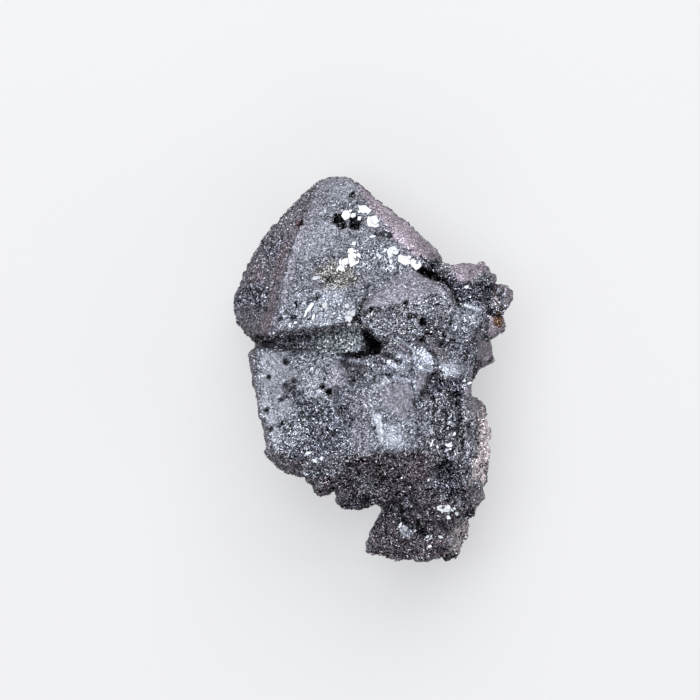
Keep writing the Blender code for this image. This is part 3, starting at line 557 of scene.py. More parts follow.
# Knobs that swell from the solid: place across the front, half width, and how deep its middle sits
# as a share of that.
knobs = {
    "named": {
        "lumpA": (8.9, 9.5, 1.8, 0.8), "lumpB": (11.4, 9.5, 1.5, 0.7),
        "litHead": (9.4, 5.6, 1.5, 0.75), "litSide": (7.6, 4.2, 1, 0.7),
        "paleKnob": (5.1, 0.9, 1.5, 0.75), "nextKnob": (2.4, 0.5, 1.6, 0.8),
        "farKnob": (8, -0.1, 1.3, 0.75), "edgeKnob": (10.6, -1.6, 1.2, 0.7),
        "lowKnobA": (7, -5.4, 1.3, 0.75), "lowKnobB": (9.2, -4.6, 1.2, 0.7),
        "lowKnobC": (8.2, -7.3, 1.2, 0.7), "lowKnobD": (6.2, -8.6, 1.1, 0.7),
        "crustA": (11.2, -6.6, 1.3, 0.75), "crustB": (10.6, -9.6, 1.4, 0.75),
        "crustC": (9.6, -12.6, 1.3, 0.75), "footHead": (7.4, -14.4, 1.4, 0.7),
        "footBlue": (3.4, -16.6, 1.4, 0.75), "footLeft": (0.9, -17.4, 1.2, 0.7),
        "footRight": (7.4, -17.6, 1.4, 0.7), "underA": (-7.2, -10.6, 1.1, 0.6),
        "underB": (-5.3, -12, 1.1, 0.6), "underC": (-3, -12.6, 1.2, 0.65),
        "underD": (-0.4, -12.2, 1.1, 0.7), "underE": (3.4, -11.4, 1.5, 0.8),
    },
    # and those on the brink, with the height of their middles
    "brink": {
        "lumpC": (13.3, 7.9, 10, 1.02), "lobeD": (12.35, 5, 9.8, 1.22),
        "lobeE": (11.5, 1.3, 9.6, 1.3), "edgeG": (11.4, 9.5, 11.2, 1.4),
        "rowA": (6.6, -1.9, 14.4, 1), "rowB": (6.7, -3.3, 14.5, 1.3), "rowC": (6.6, -5, 14.8, 1.35),
        "rowD": (6.8, -6.8, 14.8, 1.35), "rowE": (6.7, -8.4, 14.6, 1.3),
        "rowF": (5.6, -11.9, 12.6, 1.3), "lowG": (-6.6, -10.2, 14.2, 1.3),
        "lowH": (-4.6, -10.3, 14.2, 1.2), "lumpD": (13.1, 6.7, 9.8, 0.95),
        "toothA": (4.75, -0.8, 15.75, 0.92), "toothB": (4.75, -1.5, 16, 0.66),
        "toothC": (4.65, -2.1, 16.15, 0.42), "toothSide": (3.5, -1, 15.25, 0.95),
        "gapA": (8.25, 5.5, 12.5, 1), "gapB": (7.7, 4.5, 12.9, 1.05), "gapC": (7, 3.8, 13.1, 1.05),
        "gapD": (6.1, 3.2, 13.3, 0.95),
    },
    "strewn": 270,
    "size": (0.35, 1.15),  # half widths of the chance ones
    "fine": 1.6,  # how strongly the small ones outnumber the large
    "deep": (0.6, 0.9),
    "stray": 0.25,
    "stretch": (0.8, 1.25),
    "steps": (2, 3),  # subdivisions, and those of the ones on the brink
    "seed": 17,
}

# Where chance knobs and cobbles may be, across the front and up it, and how likely they are.
knobblyPlan = {
    "sides": (((7.0, 9.0), 11.0, 1.0), ((3.5, 5.5), 3.0, 0.8)),  # begins and is whole, top, share
    "under": (-8.5, -0.3),  # its top, on faces that look down more than this
    "foot": -12.5,  # its top
    "back": (-0.1, 1.2, 0.7),  # on faces that look back, above this height, and its share
    "bottom": 0.8,  # none is lower than this
}

# Places where the shape is drawn in or out: path across the front, reach and way.
nudges = {
    "rightBay": dict(path=[(12.2, -1.2), (12.2, -2.2)], reach=1.8, by=(-1.4, 0)),
    "lumpTop": dict(path=[(8.4, 12.2), (9.4, 12.2)], reach=1.3, by=(0, -0.8)),
    "lumpCorner": dict(path=[(12.6, 11.2), (12.8, 10.8)], reach=0.8, by=(-0.4, -0.35)),
    "lumpNotch": dict(path=[(13.1, 9.1), (13.3, 9.2)], reach=0.55, by=(-0.45, -0.3)),
    "lobeNotch": dict(path=[(12.8, 3), (13.2, 2.9)], reach=0.45, by=(-0.5, 0)),
    "footShoulder": dict(path=[(-0.1, -14.8), (-0.2, -15.9)], reach=0.9, by=(0.45, 0.1)),
    "beadGap": dict(path=[(-3.9, -12.9), (-3.7, -12.7)], reach=0.5, by=(0.1, 0.5)),
    "underStep": dict(path=[(-7.3, -11.8), (-7.1, -11.6)], reach=0.6, by=(0.1, 0.6)),
    "lowLobe": dict(path=[(11.2, -12.9), (11.2, -13.5)], reach=0.9, by=(0.5, 0)),
    "lowerRim": dict(path=[(-11.6, 1.5), (-5, 1.4)], reach=1.1, by=(0, 0.55)),
}

# Each placed pit's place across the front and its half width.
pits = {
    "steep": 1.3,  # depth beside the half width
    "ragged": ((0.3, 0.55, 12),),  # size, strength and seed of the noise at their edges
    "edge": (-1.3, -0.5),  # where a pit begins and is whole, in half widths
    "facing": 0.05,  # placed pits are on faces that look up more than this
    # and chance ones all round: half widths from small up to small and more, in a share of cells
    "chance": dict(apart=1.9, small=0.1, more=0.3, share=0.35, edge=(-1.2, -0.4), seed=13),
    "placed": [
        (-9, 0.8, 0.24), (-10.8, -0.8, 0.22), (-5.3, -1.8, 0.28), (-4.6, -2.4, 0.38),
        (-9.4, -3.1, 0.24), (-11, -4.1, 0.27), (-7.5, -4.5, 0.24), (-9.3, -5.5, 0.25),
        (-10.6, -6.1, 0.25), (-9.7, -5.9, 0.2), (-8.2, -1.1, 0.23), (-0.1, 6.1, 0.3),
        (2.5, 5.8, 0.3), (5.2, 4.9, 0.5), (3.4, 6.7, 0.28), (6.6, 6.6, 0.32), (3.9, 5.4, 0.42),
        (5.7, 3.8, 0.32), (7.3, 3.5, 0.3), (-3.5, 15.6, 0.52), (-3.3, 15, 0.45), (-1.8, 15.6, 0.48),
        (-1.9, 15, 0.5), (6.1, 1.8, 0.3), (-7.6, 15.1, 0.34), (-4.6, 9.4, 0.3), (-7.9, 6.8, 0.25),
        (-9.8, 5.2, 0.25), (-2.2, 18.1, 0.28), (8.2, 3, 0.3), (11.3, -10, 0.34), (10.7, -8.9, 0.28),
        (8.4, 11.2, 0.3),
    ],
}


def solidMesh(node):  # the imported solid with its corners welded
    work = bmesh.new()
    work.from_mesh(node.data)
    bmesh.ops.remove_doubles(work, verts=work.verts, dist=skinPlan["weld"])
    mesh = bpy.data.meshes.new("welded")
    work.to_mesh(mesh)
    work.free()
    return mesh


def knobMesh(mesh):  # the solid and its knobs, as one mesh of overlapping closed shells
    plan = knobs
    draws = np.random.default_rng(plan["seed"])
    build = bmesh.new()
    build.from_mesh(mesh)
    tree = BVHTree.FromBMesh(build)
    places = [face.calc_center_median() / mm for face in build.faces]
    normals = [face.normal.copy() for face in build.faces]
    areas = np.array([face.calc_area() / mm**2 for face in build.faces])
    spots = []
    for x, y, reach, deep in plan["named"].values():
        place, normal = tree.ray_cast(Vector((x, y, skyHigh)) * mm, Vector((0, 0, -1)))[:2]
        if place is not None:
            spots.append((place / mm, normal, reach, deep))
    wanted = areas * knobbly(np.array(places), np.array(normals))
    low, high = plan["size"]
    coarse, fine = plan["steps"]
    for i in draws.choice(len(areas), plan["strewn"], p=wanted / wanted.sum()):
        reach = low + (high - low) * draws.random() ** plan["fine"]
        stray = Vector(draws.normal(0, plan["stray"], 3))
        spots.append((places[i] + stray, normals[i], reach, draws.uniform(*plan["deep"])))
    rounds = [(place - way * (reach * deep), reach, coarse) for place, way, reach, deep in spots]
    rounds += [(Vector((x, y, z)), reach, fine) for x, y, z, reach in plan["brink"].values()]
    for middle, reach, steps in rounds:
        turn = Euler(draws.uniform(0, math.tau, 3)).to_matrix().to_4x4()
        stretch = Matrix.Diagonal((*draws.uniform(*plan["stretch"], 3), 1))
        spot = Matrix.Translation(middle * mm) @ turn @ stretch @ Matrix.Scale(reach * mm, 4)
        bmesh.ops.create_icosphere(build, subdivisions=steps, radius=1, matrix=spot)
    joined = bpy.data.meshes.new("knobbly")
    build.to_mesh(joined)
    build.free()
    return joined


def knobbly(middles, normals):  # how likely a chance knob is, from 0 to 1
    plan = knobblyPlan
    x, y, z = middles.T
    shares = [eased(x, *across) * (y < top) * share for across, top, share in plan["sides"]]
    top, down = plan["under"]
    shares += [(y < top) * (normals[:, 1] < down), (y < plan["foot"]) * 1.0]
    back, above, share = plan["back"]
    shares.append((normals[:, 2] < back) * (z > above) * share)
    return np.maximum.reduce(shares) * (z > plan["bottom"])


def remeshed(mesh, voxel):
    holder = linked("holder", mesh)
    change = holder.modifiers.new("even", "REMESH")
    change.mode = "VOXEL"
    change.voxel_size = voxel * mm
    graph = bpy.context.evaluated_depsgraph_get()
    found = bpy.data.meshes.new_from_object(holder.evaluated_get(graph), depsgraph=graph)
    bpy.data.objects.remove(holder)
    return found


def read(items, field, width=1, kind=float):  # a field of all the items, a row for each
    flat = np.empty(len(items) * width, kind)
    items.foreach_get(field, flat)
    return flat.reshape(-1, width) if width > 1 else flat


def writePoints(mesh, points):
    mesh.vertices.foreach_set("co", (points * mm).ravel())
    mesh.update()


def keptInside(points):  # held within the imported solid's box
    low, high = (np.array(corner) / mm for corner in cadBox)
    return np.clip(points, low, high)


class Neighbours:  # evens out values over a mesh's edges
    def __init__(self, mesh):
        self.ends = read(mesh.edges, "vertices", 2, np.int64).T
        self.size = len(mesh.vertices)
        self.count = self.gathered(np.ones(self.size))

    def gathered(self, column):  # the sum of each point's neighbours
        first, second = self.ends
        total = np.bincount(first, column[second], self.size)
        return total + np.bincount(second, column[first], self.size)

    def smoothed(self, values, passes):
        for _ in range(passes):
            means = [self.gathered(column) / self.count for column in values.T]
            values = (values + np.stack(means, axis=1)) / 2
        return values


# How far inside a pit each point is, from 0 to 1, and the depth there.
def pitDepth(points, normals):
    plan, chance = pits, pits["chance"]
    deep = np.zeros(len(points))
    sunk = np.zeros(len(points))
    ragged = layered(points, plan["ragged"])
    for x, y, reach in plan["placed"]:
        away = np.hypot(points[:, 0] - x, points[:, 1] - y) / reach
        inside = eased(-away + ragged, *plan["edge"]) * (normals[:, 2] > plan["facing"])
        deep = np.maximum(deep, inside)
        sunk = np.maximum(sunk, inside * reach * plan["steep"])
    away, own = cells(points, chance["apart"], chance["seed"])
    reach = chance["small"] + chance["more"] * own[:, 1] ** 2
    away = np.linalg.norm(away, axis=1) / reach
    inside = eased(-away + ragged, *chance["edge"]) * (own[:, 2] < chance["share"])
    return np.maximum(deep, inside), np.maximum(sunk, inside * reach * plan["steep"])


def cobbled(points, size, seed):  # 1 on top of a rounded cobble and -1 in the gaps
    away = cells(points, size, seed)[0]
    reach = skinPlan["cobbleRound"] * size**2
    return np.clip(1 - np.einsum("ij,ij->i", away, away) / reach, -1, 1)


def cutFacets(points, size, seed):  # facets with their tops cut level
    return np.minimum(faceted(points, size, seed), skinPlan["crystalTop"])


def addRelief(lift, points, broad, rough):  # adds each layer of relief to the lift
    plan = skinPlan
    knobbed = knobbly(points, broad)
    leaning = 1 - eased(broad[:, 2], *plan["leaning"])
    behind = (1 - eased(broad[:, 2], *plan["behind"])) * eased(points[:, 2], *plan["offFloor"])
    bare = plan["bareLumps"]
    for name, field, share in (
        ("swell", softNoise, 1.0),
        ("cobbles", cobbled, knobbed * rough),
        ("crystals", cutFacets, behind),
        ("lumps", softNoise, leaning * (bare + (1 - bare) * knobbed)),
        ("blocks", faceted, rough ** plan["blockBias"]),
        ("chips", faceted, rough),
    ):
        size, height, seed = plan[name]
        lift += field(points, size, seed) * height * share


def setAttribute(mesh, name, values):  # a number or a colour at each point
    kind, field = ("FLOAT", "value") if values.ndim == 1 else ("FLOAT_COLOR", "color")
    if kind == "FLOAT_COLOR":
        values = np.hstack([values, np.ones((len(values), 1))])
    made = mesh.attributes.new(name, kind, "POINT")
    made.data.foreach_set(field, values.astype(np.float32).ravel())


def makeSkin(node, material):
    plan = skinPlan
    draws = np.random.default_rng(plan["seed"])
    mesh = remeshed(knobMesh(solidMesh(node)), plan["voxel"])
    mesh.name = plan["name"]
    near = Neighbours(mesh)
    points = near.smoothed(read(mesh.vertices, "co", 3) / mm, plan["wearPasses"])
    for nudge in nudges.values():
        away = awayFrom(points[:, :2], nudge["path"]) / nudge["reach"]
        points[:, :2] += np.exp(-away**2)[:, None] * np.array(nudge["by"])
    writePoints(mesh, points)
    normals = read(mesh.vertex_normals, "vector", 3)
    broad = unitRows(near.smoothed(normals, plan["broadPasses"]))
    tint, calm, lift = paint(points, broad)
    rough = 1 - calm
    addRelief(lift, points, broad, rough)
    deep, sunk = pitDepth(points, broad)
    lift -= sunk
    calmGrain = plan["calmGrain"]
    grains = draws.normal(0, 1, len(points)) * plan["grain"]
    lift += grains * (calmGrain + (1 - calmGrain) * rough)
    slide = draws.normal(0, 1, points.shape) * plan["slide"]
    slide -= broad * np.einsum("ij,ij->i", slide, broad)[:, None]
    points = keptInside(points + broad * lift[:, None] + slide)
    writePoints(mesh, points)
    below = np.einsum("ij,ij->i", near.smoothed(points, plan["ringPasses"]) - points, broad)
    # the hollow mask darkens the finish below as painted shade in hollows and pits
    hollow = eased(below, *plan["hollow"]) * plan["hollowShade"] + deep
    setAttribute(mesh, "tint", tint)
    setAttribute(mesh, "calm", calm)
    setAttribute(mesh, "hollow", np.clip(hollow, 0, 1))
    setAttribute(mesh, "crest", eased(-below, *plan["crest"]))
    mesh.materials.clear()
    mesh.polygons.foreach_set("material_index", np.zeros(len(mesh.polygons), np.int32))
    mesh.shade_flat()
    return addPiece(mesh, material), broad


def addPiece(mesh, material):
    mesh.materials.append(material)
    piece = linked(mesh.name, mesh)
    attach(piece, "root")
    return piece


# Flakes: small crystals grown on the skin.

flakePlan = {
    "fields": {
        "flakes_upper": 36000, "flakes_left": 30000, "flakes_right": 36000, "flakes_back": 26000,
    },
    "split": (1.5, 3.2),  # across and along, where the front's fields meet
    "back": 0.1,  # a face that looks up less than this is the back's
    "whole": 0.2,  # share of whole crystals among them; the others are thin shards
    "rough": (0.05, 2.0),  # least and most for how they crowd on smooth and rough places
    "crowding": 1.4,
    "inHollows": 0.6,  # how many fewer there are in hollows
    "reach": (0.042, 0.12),  # half width of the smallest and largest
    "fine": 3,  # how strongly the small ones outnumber the large
    "thick": (0.25, 0.65),  # thickness beside the width
    "uneven": (0.75, 1.2),  # how far each corner reaches
    "tip": 0.42,  # how far they lean from the surface
    "stray": 0.07,
    "proud": -0.05,  # how far they stand out, as a share of their width
    "calmSink": 0.6,  # and how much less where it is smooth
    # how bright a flake is, beside the skin's tint, for its chance number from 0 to 1
    "shades": ((0, 0.03), (0.28, 0.16), (0.6, 0.95), (0.85, 1.6), (1, 2.4)),
    "even": (-0.6, 0.8),  # calm between these evens the shades out
    "brightest": 0.8,
    "glint": (0.95, 0.98, 1.1),  # the hue that the brightest lean to
    "glintFrom": (0.6, 0.9),  # chance numbers where that begins and is whole
    "glintShare": 0.7,
    "seed": 31,
}

# The corners and faces of a whole, eight-faced crystal and of a shard with a sharp crest, and how
# long they are beside their width.
crystal = {
    "corners": np.array(
        [(1, 0, 0), (0, 1, 0), (-1, 0, 0), (0, -1, 0), (0, 0, 1), (0, 0, -1)], float
    ),
    "faces": np.array(
        [(i, (i + 1) % 4, 4) for i in range(4)] + [((i + 1) % 4, i, 5) for i in range(4)]
    ),
    "long": (0.8, 1.3),
}
shard = {
    "corners": np.array([(1, 0, 0.9), (-1, 0, 0.9), (0, 0.7, -0.9), (0, -0.7, -0.9)], float),
    "faces": np.array([(0, 1, 3), (1, 0, 2), (2, 0, 3), (1, 2, 3)]),
    "long": (1.0, 2.0),
}


def surfaceOf(skin, broad):  # the skin's faces: middle, broad normal, area, tint, calm and hollow
    mesh = skin.data
    firsts = read(mesh.polygons, "loop_start", kind=np.int64)
    own = read(mesh.loops, "vertex_index", kind=np.int64)[firsts]
    fields = mesh.attributes
    return {
        "middles": read(mesh.polygons, "center", 3) / mm,
        "normals": broad[own],
        "areas": read(mesh.polygons, "area") / mm**2,
        "tints": read(fields["tint"].data, "color", 4, np.float32)[own, :3],
        "calms": read(fields["calm"].data, "value", kind=np.float32)[own],
        "hollows": read(fields["hollow"].data, "value", kind=np.float32)[own],
    }


def fieldsOf(surface):  # which field each face belongs to, by the field's place in the plan
    across, along = flakePlan["split"]
    middles = surface["middles"]
    front = np.where(middles[:, 1] > along, 0, np.where(middles[:, 0] < across, 1, 2))
    return np.where(surface["normals"][:, 2] < flakePlan["back"], 3, front)


def crystalsOn(surface, faces, form, draws):  # one form's crystals: corners, tints and chances
    plan = flakePlan
    count = len(faces)
    normals = surface["normals"][faces]
    calms = surface["calms"][faces]
    up = unitRows(normals + draws.normal(0, plan["tip"], (count, 3)))
    side = unitRows(np.cross(up, draws.normal(0, 1, (count, 3))))
    frames = np.stack([side, np.cross(up, side), up], axis=1)
    small, large = plan["reach"]
    reach = small + (large - small) * draws.random(count) ** plan["fine"]
    long = draws.uniform(*form["long"], count)
    stretch = np.stack([long, np.ones(count), draws.uniform(*plan["thick"], count)], axis=1)
    uneven = draws.uniform(*plan["uneven"], (count, len(form["corners"]), 1))
    corners = form["corners"] * uneven * stretch[:, None] * reach[:, None, None]
    strays = draws.normal(0, plan["stray"], (count, 3))
    proud = reach * (plan["proud"] - plan["calmSink"] * np.clip(calms, 0, 1))
    strays += normals * (proud - np.einsum("ij,ij->i", strays, normals))[:, None]
    middles = surface["middles"][faces] + strays
    points = np.einsum("nij,njk->nik", corners, frames) + middles[:, None]
    chance = draws.random(count)
    bright = np.interp(chance, *zip(*plan["shades"])) ** (1 - np.clip(calms, *plan["even"]))
    tints = surface["tints"][faces]
    grey = tints.mean(axis=1, keepdims=True) * np.array(plan["glint"])
    glint = eased(chance, *plan["glintFrom"])[:, None] * plan["glintShare"]
    tints = tints + (grey - tints) * glint
    return points, np.clip(tints * bright[:, None], 0, plan["brightest"]), chance


def growFlakes(name, count, surface, field, material, draws):
    plan = flakePlan
    rough = np.clip(1 - surface["calms"], *plan["rough"])
    wanted = surface["areas"] * field * rough ** plan["crowding"]
    wanted = wanted * (1 - plan["inHollows"] * surface["hollows"])
    faces = draws.choice(len(wanted), count, p=wanted / wanted.sum())
    split = int(count * plan["whole"])
    across = math.ceil(math.sqrt(count)) + 1  # squares in a row of the flat map
    points, triangles, tints, chances, flat = [], [], [], [], []
    first = 0
    for form, own, row in (
        (crystal, faces[:split], 0),
        (shard, faces[split:], math.ceil(across * plan["whole"])),
    ):
        placed, tint, chance = crystalsOn(surface, own, form, draws)
        corners = len(form["corners"])
        starts = first + np.arange(len(own)) * corners
        points.append(placed.reshape(-1, 3))
        triangles.append((form["faces"] + starts[:, None, None]).reshape(-1, 3))
        tints.append(np.repeat(tint, corners, axis=0))
        chances.append(np.repeat(chance, corners))
        flat.append(mapped(form["corners"], len(own), row, across))
        first += len(own) * corners
    mesh = bpy.data.meshes.new(name)
    mesh.from_pydata(keptInside(np.concatenate(points)) * mm, [], np.concatenate(triangles))
    setAttribute(mesh, "tint", np.concatenate(tints))
    setAttribute(mesh, "spark", np.concatenate(chances))
    layer = mesh.uv_layers.new(name="OFBake")
    own = read(mesh.loops, "vertex_index", kind=np.int64)
    layer.uv.foreach_set("vector", np.concatenate(flat)[own].astype(np.float32).ravel())
    return addPiece(mesh, material)


# A flat map with a square for each crystal, from a row upwards: the corners seen from above, with
# the two ends drawn a little apart.
def mapped(corners, count, row, across, apart=0.25, fill=0.28):
    square = np.stack([np.arange(count) % across, np.arange(count) // across + row], axis=1)
    lean = corners[:, :2] + corners[:, 2:] * apart
    return ((lean * fill + 0.5 + square[:, None]) / (across + 1)).reshape(-1, 2)


# Plates: the large mirror-bright crystals, turned to catch the key light; their glint is partly
# painted in as a pale base colour.

# Each plate's place across the front, its size there, its turn in degrees, its lean, which tips it
# away from the light, and its brightness.
mirrorPlates = {
    "shieldLeft": (-2.8, 16, 0.93, 1.14, 10, 0, 1),
    "shieldTop": (-0.9, 16.5, 1.2, 0.85, -35, 0, 1),
    "shieldRight": (0, 15.2, 1.6, 1.2, -30, 0, 1),
    "chipRight": (-0.1, 13.7, 0.8, 0.4, 10, 0, 0.8),
    "starUpper": (-2, 13, 0.55, 0.6, 20, 0, 0.8), "starMiddle": (-2.3, 12.2, 0.7, 0.7, 0, 0, 1),
    "starLower": (-2.1, 11.3, 1.1, 1.55, 10, 0, 1), "starLeft": (-3.3, 10.4, 0.75, 0.7, 15, 0, 1),
    "starSpike": (-3.4, 11.1, 0.3, 0.7, 8, 0, 1), "blueChip": (-5.9, 9.4, 0.75, 0.5, 15, 5, 0.6),
    "brinkLeft": (1.9, 12.1, 1.35, 1.25, 20, 5, 0.8),
    "brinkMiddle": (3.3, 11.3, 1.4, 1.1, -20, 0, 1),
    "brinkRight": (4.3, 10.9, 1.4, 0.95, -38, 0, 1), "bladeLong": (-6.6, 6.2, 0.5, 1.9, -32, 0, 1),
    "bladeShort": (-6.2, 5.3, 0.26, 0.9, -12, 0, 1),
    "footChipA": (-5, 6.6, 0.65, 0.6, 30, 6, 0.6), "footChipB": (-2.7, 6.5, 0.6, 0.55, 0, 8, 0.6),
    "footChipC": (-2.6, 5.3, 0.8, 0.85, 25, 7, 0.65), "footChipD": (-8.6, 4.5, 0.3, 0.4, 0, 0, 1),
    "footChipE": (-8, 4.8, 0.3, 0.3, 0, 0, 1), "notchNeedle": (-6.1, 3.3, 0.16, 0.7, -12, 0, 1),
    "terraceA": (-6, -9.4, 0.7, 0.45, -35, 0, 1), "terraceB": (-6.7, -8.6, 0.8, 0.35, 20, 4, 1),
    "terraceC": (-5.3, -9.1, 0.3, 0.7, -20, 4, 1),
    "cheekSpark": (-11.4, -0.7, 0.35, 0.3, 30, 5, 0.7),
    "sideNeedle": (6, -7.6, 0.24, 1, -15, 0, 1), "sideStar": (7.7, -7.7, 0.8, 0.75, 45, 0, 1),
    "sideStarTip": (7.9, -8.1, 0.3, 0.5, 40, 0, 1),
    "clusterLeft": (7.2, -14.4, 1.3, 0.85, -15, 0, 0.75),
    "clusterRight": (7.9, -14.3, 0.8, 1, 20, 3, 1),
    "clusterTail": (8.6, -14.9, 0.35, 0.6, 35, 4, 0.6),
    "footBlue": (3.3, -16.5, 0.55, 0.8, 25, 12, 0.4),
    "footEdge": (2.8, -16.1, 0.25, 0.7, -30, 0, 1), "footLeft": (5.7, -17.4, 0.75, 0.5, 30, 6, 0.7),
    "footRight": (6.9, -17.3, 0.75, 0.35, -20, 6, 0.7), "footLow": (5.8, -18.3, 0.5, 0.35, 0, 3, 1),
    "wedgeSpike": (3.5, 0.9, 1, 0.18, -30, 0, 1), "blockSpark": (-1.9, 3, 0.16, 0.6, 10, 0, 1),
    "streakTop": (0.6, -5.6, 0.24, 1.5, -6, 7, 0.45),
    "streakFoot": (0.72, -6.9, 0.28, 0.9, -10, 9, 0.45),
    "baySpark": (9.9, -1.4, 0.5, 0.35, 10, 4, 1), "edgeSpark": (8.55, 4.3, 0.2, 0.75, -25, 4, 1),
    "lumpSpark": (9.6, 8.5, 0.5, 0.4, 10, 3, 1),
}

platePlan = {
    "thick": 0.22,
    "edge": 0.3,  # the rim's height as a share of that
    "bevel": 0.92,  # the face's width beside the plate's
    "large": 0.75,  # a plate wider than this has small ones grown against it
    "corners": {"large": (5, 9), "small": (4, 6)},  # from so many up to one fewer than that
    "radii": (0.55, 1.12),
    "spread": 1.3,  # how far a plate reaches past its listed size
    "touch": 0.3,  # where it feels for the skin, as a share of its size
    "stray": 0.05,  # how far it tips by chance
    "leanShare": 2,  # how strongly its lean tips it
    "proud": 0.1,
    "rimTone": 0.2,  # how bright the rim is beside the face
    "seed": 41,
}

# Small plates, grown against each large one and strewn all round.
smallPlates = {
    "each": 3,  # against a large one
    "aside": 0.3,  # how far aside, as a share of its size
    "height": (-0.05, 0.03),
    "tip": 0.06,
    "share": (0.3, 0.65),  # of the large one's size
    "tone": (0.8, 1),
    "strewn": 240,
    "strewnSize": (0.15, 0.5),
    "strewnTip": 0.35,
    "strewnTone": (0.4, 1),
}


# A thin crystal with an uneven outline and a bevelled rim.
def addPlate(build, middle, normal, turnFrom, size, tone, draws):
    plan = platePlan
    side = (turnFrom - normal * turnFrom.dot(normal)).normalized()
    along = normal.cross(side)
    kind = "large" if min(size) > plan["large"] else "small"
    count = int(draws.integers(*plan["corners"][kind]))
    start = draws.uniform(0, math.tau)
    radii = draws.uniform(*plan["radii"], count)
    tones = build.verts.layers.float["tone"]
    foot, edge = plan["thick"], plan["thick"] * plan["edge"]
    rings = []
    for reach, drop in ((1.0, foot), (1.0, edge), (plan["bevel"], 0.0)):
        ring = []
        for i in range(count):
            angle = start + math.tau * i / count
            across = side * (math.cos(angle) * radii[i] * size[0] / 2 * reach)
            up = along * (math.sin(angle) * radii[i] * size[1] / 2 * reach)
            ring.append(build.verts.new((middle + across + up - normal * drop) * mm))
            ring[-1][tones] = tone if drop == 0 else tone * plan["rimTone"]
        rings.append(ring)
    for lower, upper in zip(rings, rings[1:]):
        for i in range(count):
            j = (i + 1) % count
            build.faces.new((lower[i], lower[j], upper[j], upper[i]))
    build.faces.new(rings[-1])
    build.faces.new(rings[0][::-1])


def restingOn(tree, at, size, normal):  # the place where a plate facing that way sits on the skin
    touch = platePlan["touch"]
    heights = []
    for across, along in ((0, 0), (touch, 0), (-touch, 0), (0, touch), (0, -touch)):
        start = Vector((at[0] + across * size[0], at[1] + along * size[1], skyHigh)) * mm
        place = tree.ray_cast(start, Vector((0, 0, -1)))[0]
        if place is not None:
            heights.append(normal.dot(place / mm))
    middle = sorted(heights)[len(heights) // 2] + platePlan["proud"]
    return Vector((*at, (middle - (normal.x * at[0] + normal.y * at[1])) / normal.z))


def makePlates(skin, surface, material):
    plan, small = platePlan, smallPlates
    draws = np.random.default_rng(plan["seed"])
    places = [vert.co for vert in skin.data.vertices]
    tree = BVHTree.FromPolygons(places, [face.vertices for face in skin.data.polygons])
    towards = (Vector(lightPlan["key"]["way"]).normalized() + Vector((0, 0, 1))).normalized()
    build = bmesh.new()
    build.verts.layers.float.new("tone")
    for x, y, wide, high, turn, lean, tone in mirrorPlates.values():
        away = Vector((0, 0, math.radians(lean) * plan["leanShare"]))
        normal = (towards + (Vector(draws.normal(0, plan["stray"], 3)) + away)).normalized()
        middle = restingOn(tree, (x, y), (wide, high), normal)
        size = Vector((wide * plan["spread"], high * plan["spread"]))
        side = Vector((math.cos(math.radians(turn)), math.sin(math.radians(turn)), 0))
        addPlate(build, middle, normal, side, size, tone, draws)
        for _ in range(small["each"] if min(size) > plan["large"] else 0):
            aside, along = draws.normal(0, small["aside"], 2) * size
            place = middle + Vector((aside, along, draws.uniform(*small["height"])))
            tipped = (normal + Vector(draws.normal(0, small["tip"], 3))).normalized()
            own = size * draws.uniform(*small["share"])
            side = Vector(draws.normal(0, 1, 3))
            addPlate(build, place, tipped, side, own, tone * draws.uniform(*small["tone"]), draws)
    wanted = surface["areas"] * (1 - surface["calms"])
    for face in draws.choice(len(wanted), small["strewn"], p=wanted / wanted.sum()):
        tip = draws.normal(0, small["strewnTip"], 3)
        normal = Vector(surface["normals"][face] + tip).normalized()
        size = draws.uniform(*small["strewnSize"], 2)
        middle = Vector(surface["middles"][face]) + normal * plan["proud"]
        side = Vector(draws.normal(0, 1, 3))
        addPlate(build, middle, normal, side, size, draws.uniform(*small["strewnTone"]), draws)
    low, high = (Vector(corner) for corner in cadBox)
    for vert in build.verts:
        vert.co = Vector(max(low[i], min(high[i], vert.co[i])) for i in range(3))
    mesh = bpy.data.meshes.new("mirror_plates")
    build.to_mesh(mesh)
    build.free()
    return addPiece(mesh, material)


# Shader maths.


class Value:  # a socket that plain arithmetic works on
    def __init__(self, finish, socket):
        self.finish = finish
        self.socket = socket

    def maths(self, operation, *inputs):
        return self.finish.node("ShaderNodeMath", {"operation": operation}, dict(enumerate(inputs)))

    def __add__(self, other):
        return self.maths("ADD", self, other)

    def __sub__(self, other):
        return self.maths("SUBTRACT", self, other)

    def __rsub__(self, other):
        return self.maths("SUBTRACT", other, self)

    def __mul__(self, other):
        return self.maths("MULTIPLY", self, other)

    __radd__ = __add__
    __rmul__ = __mul__


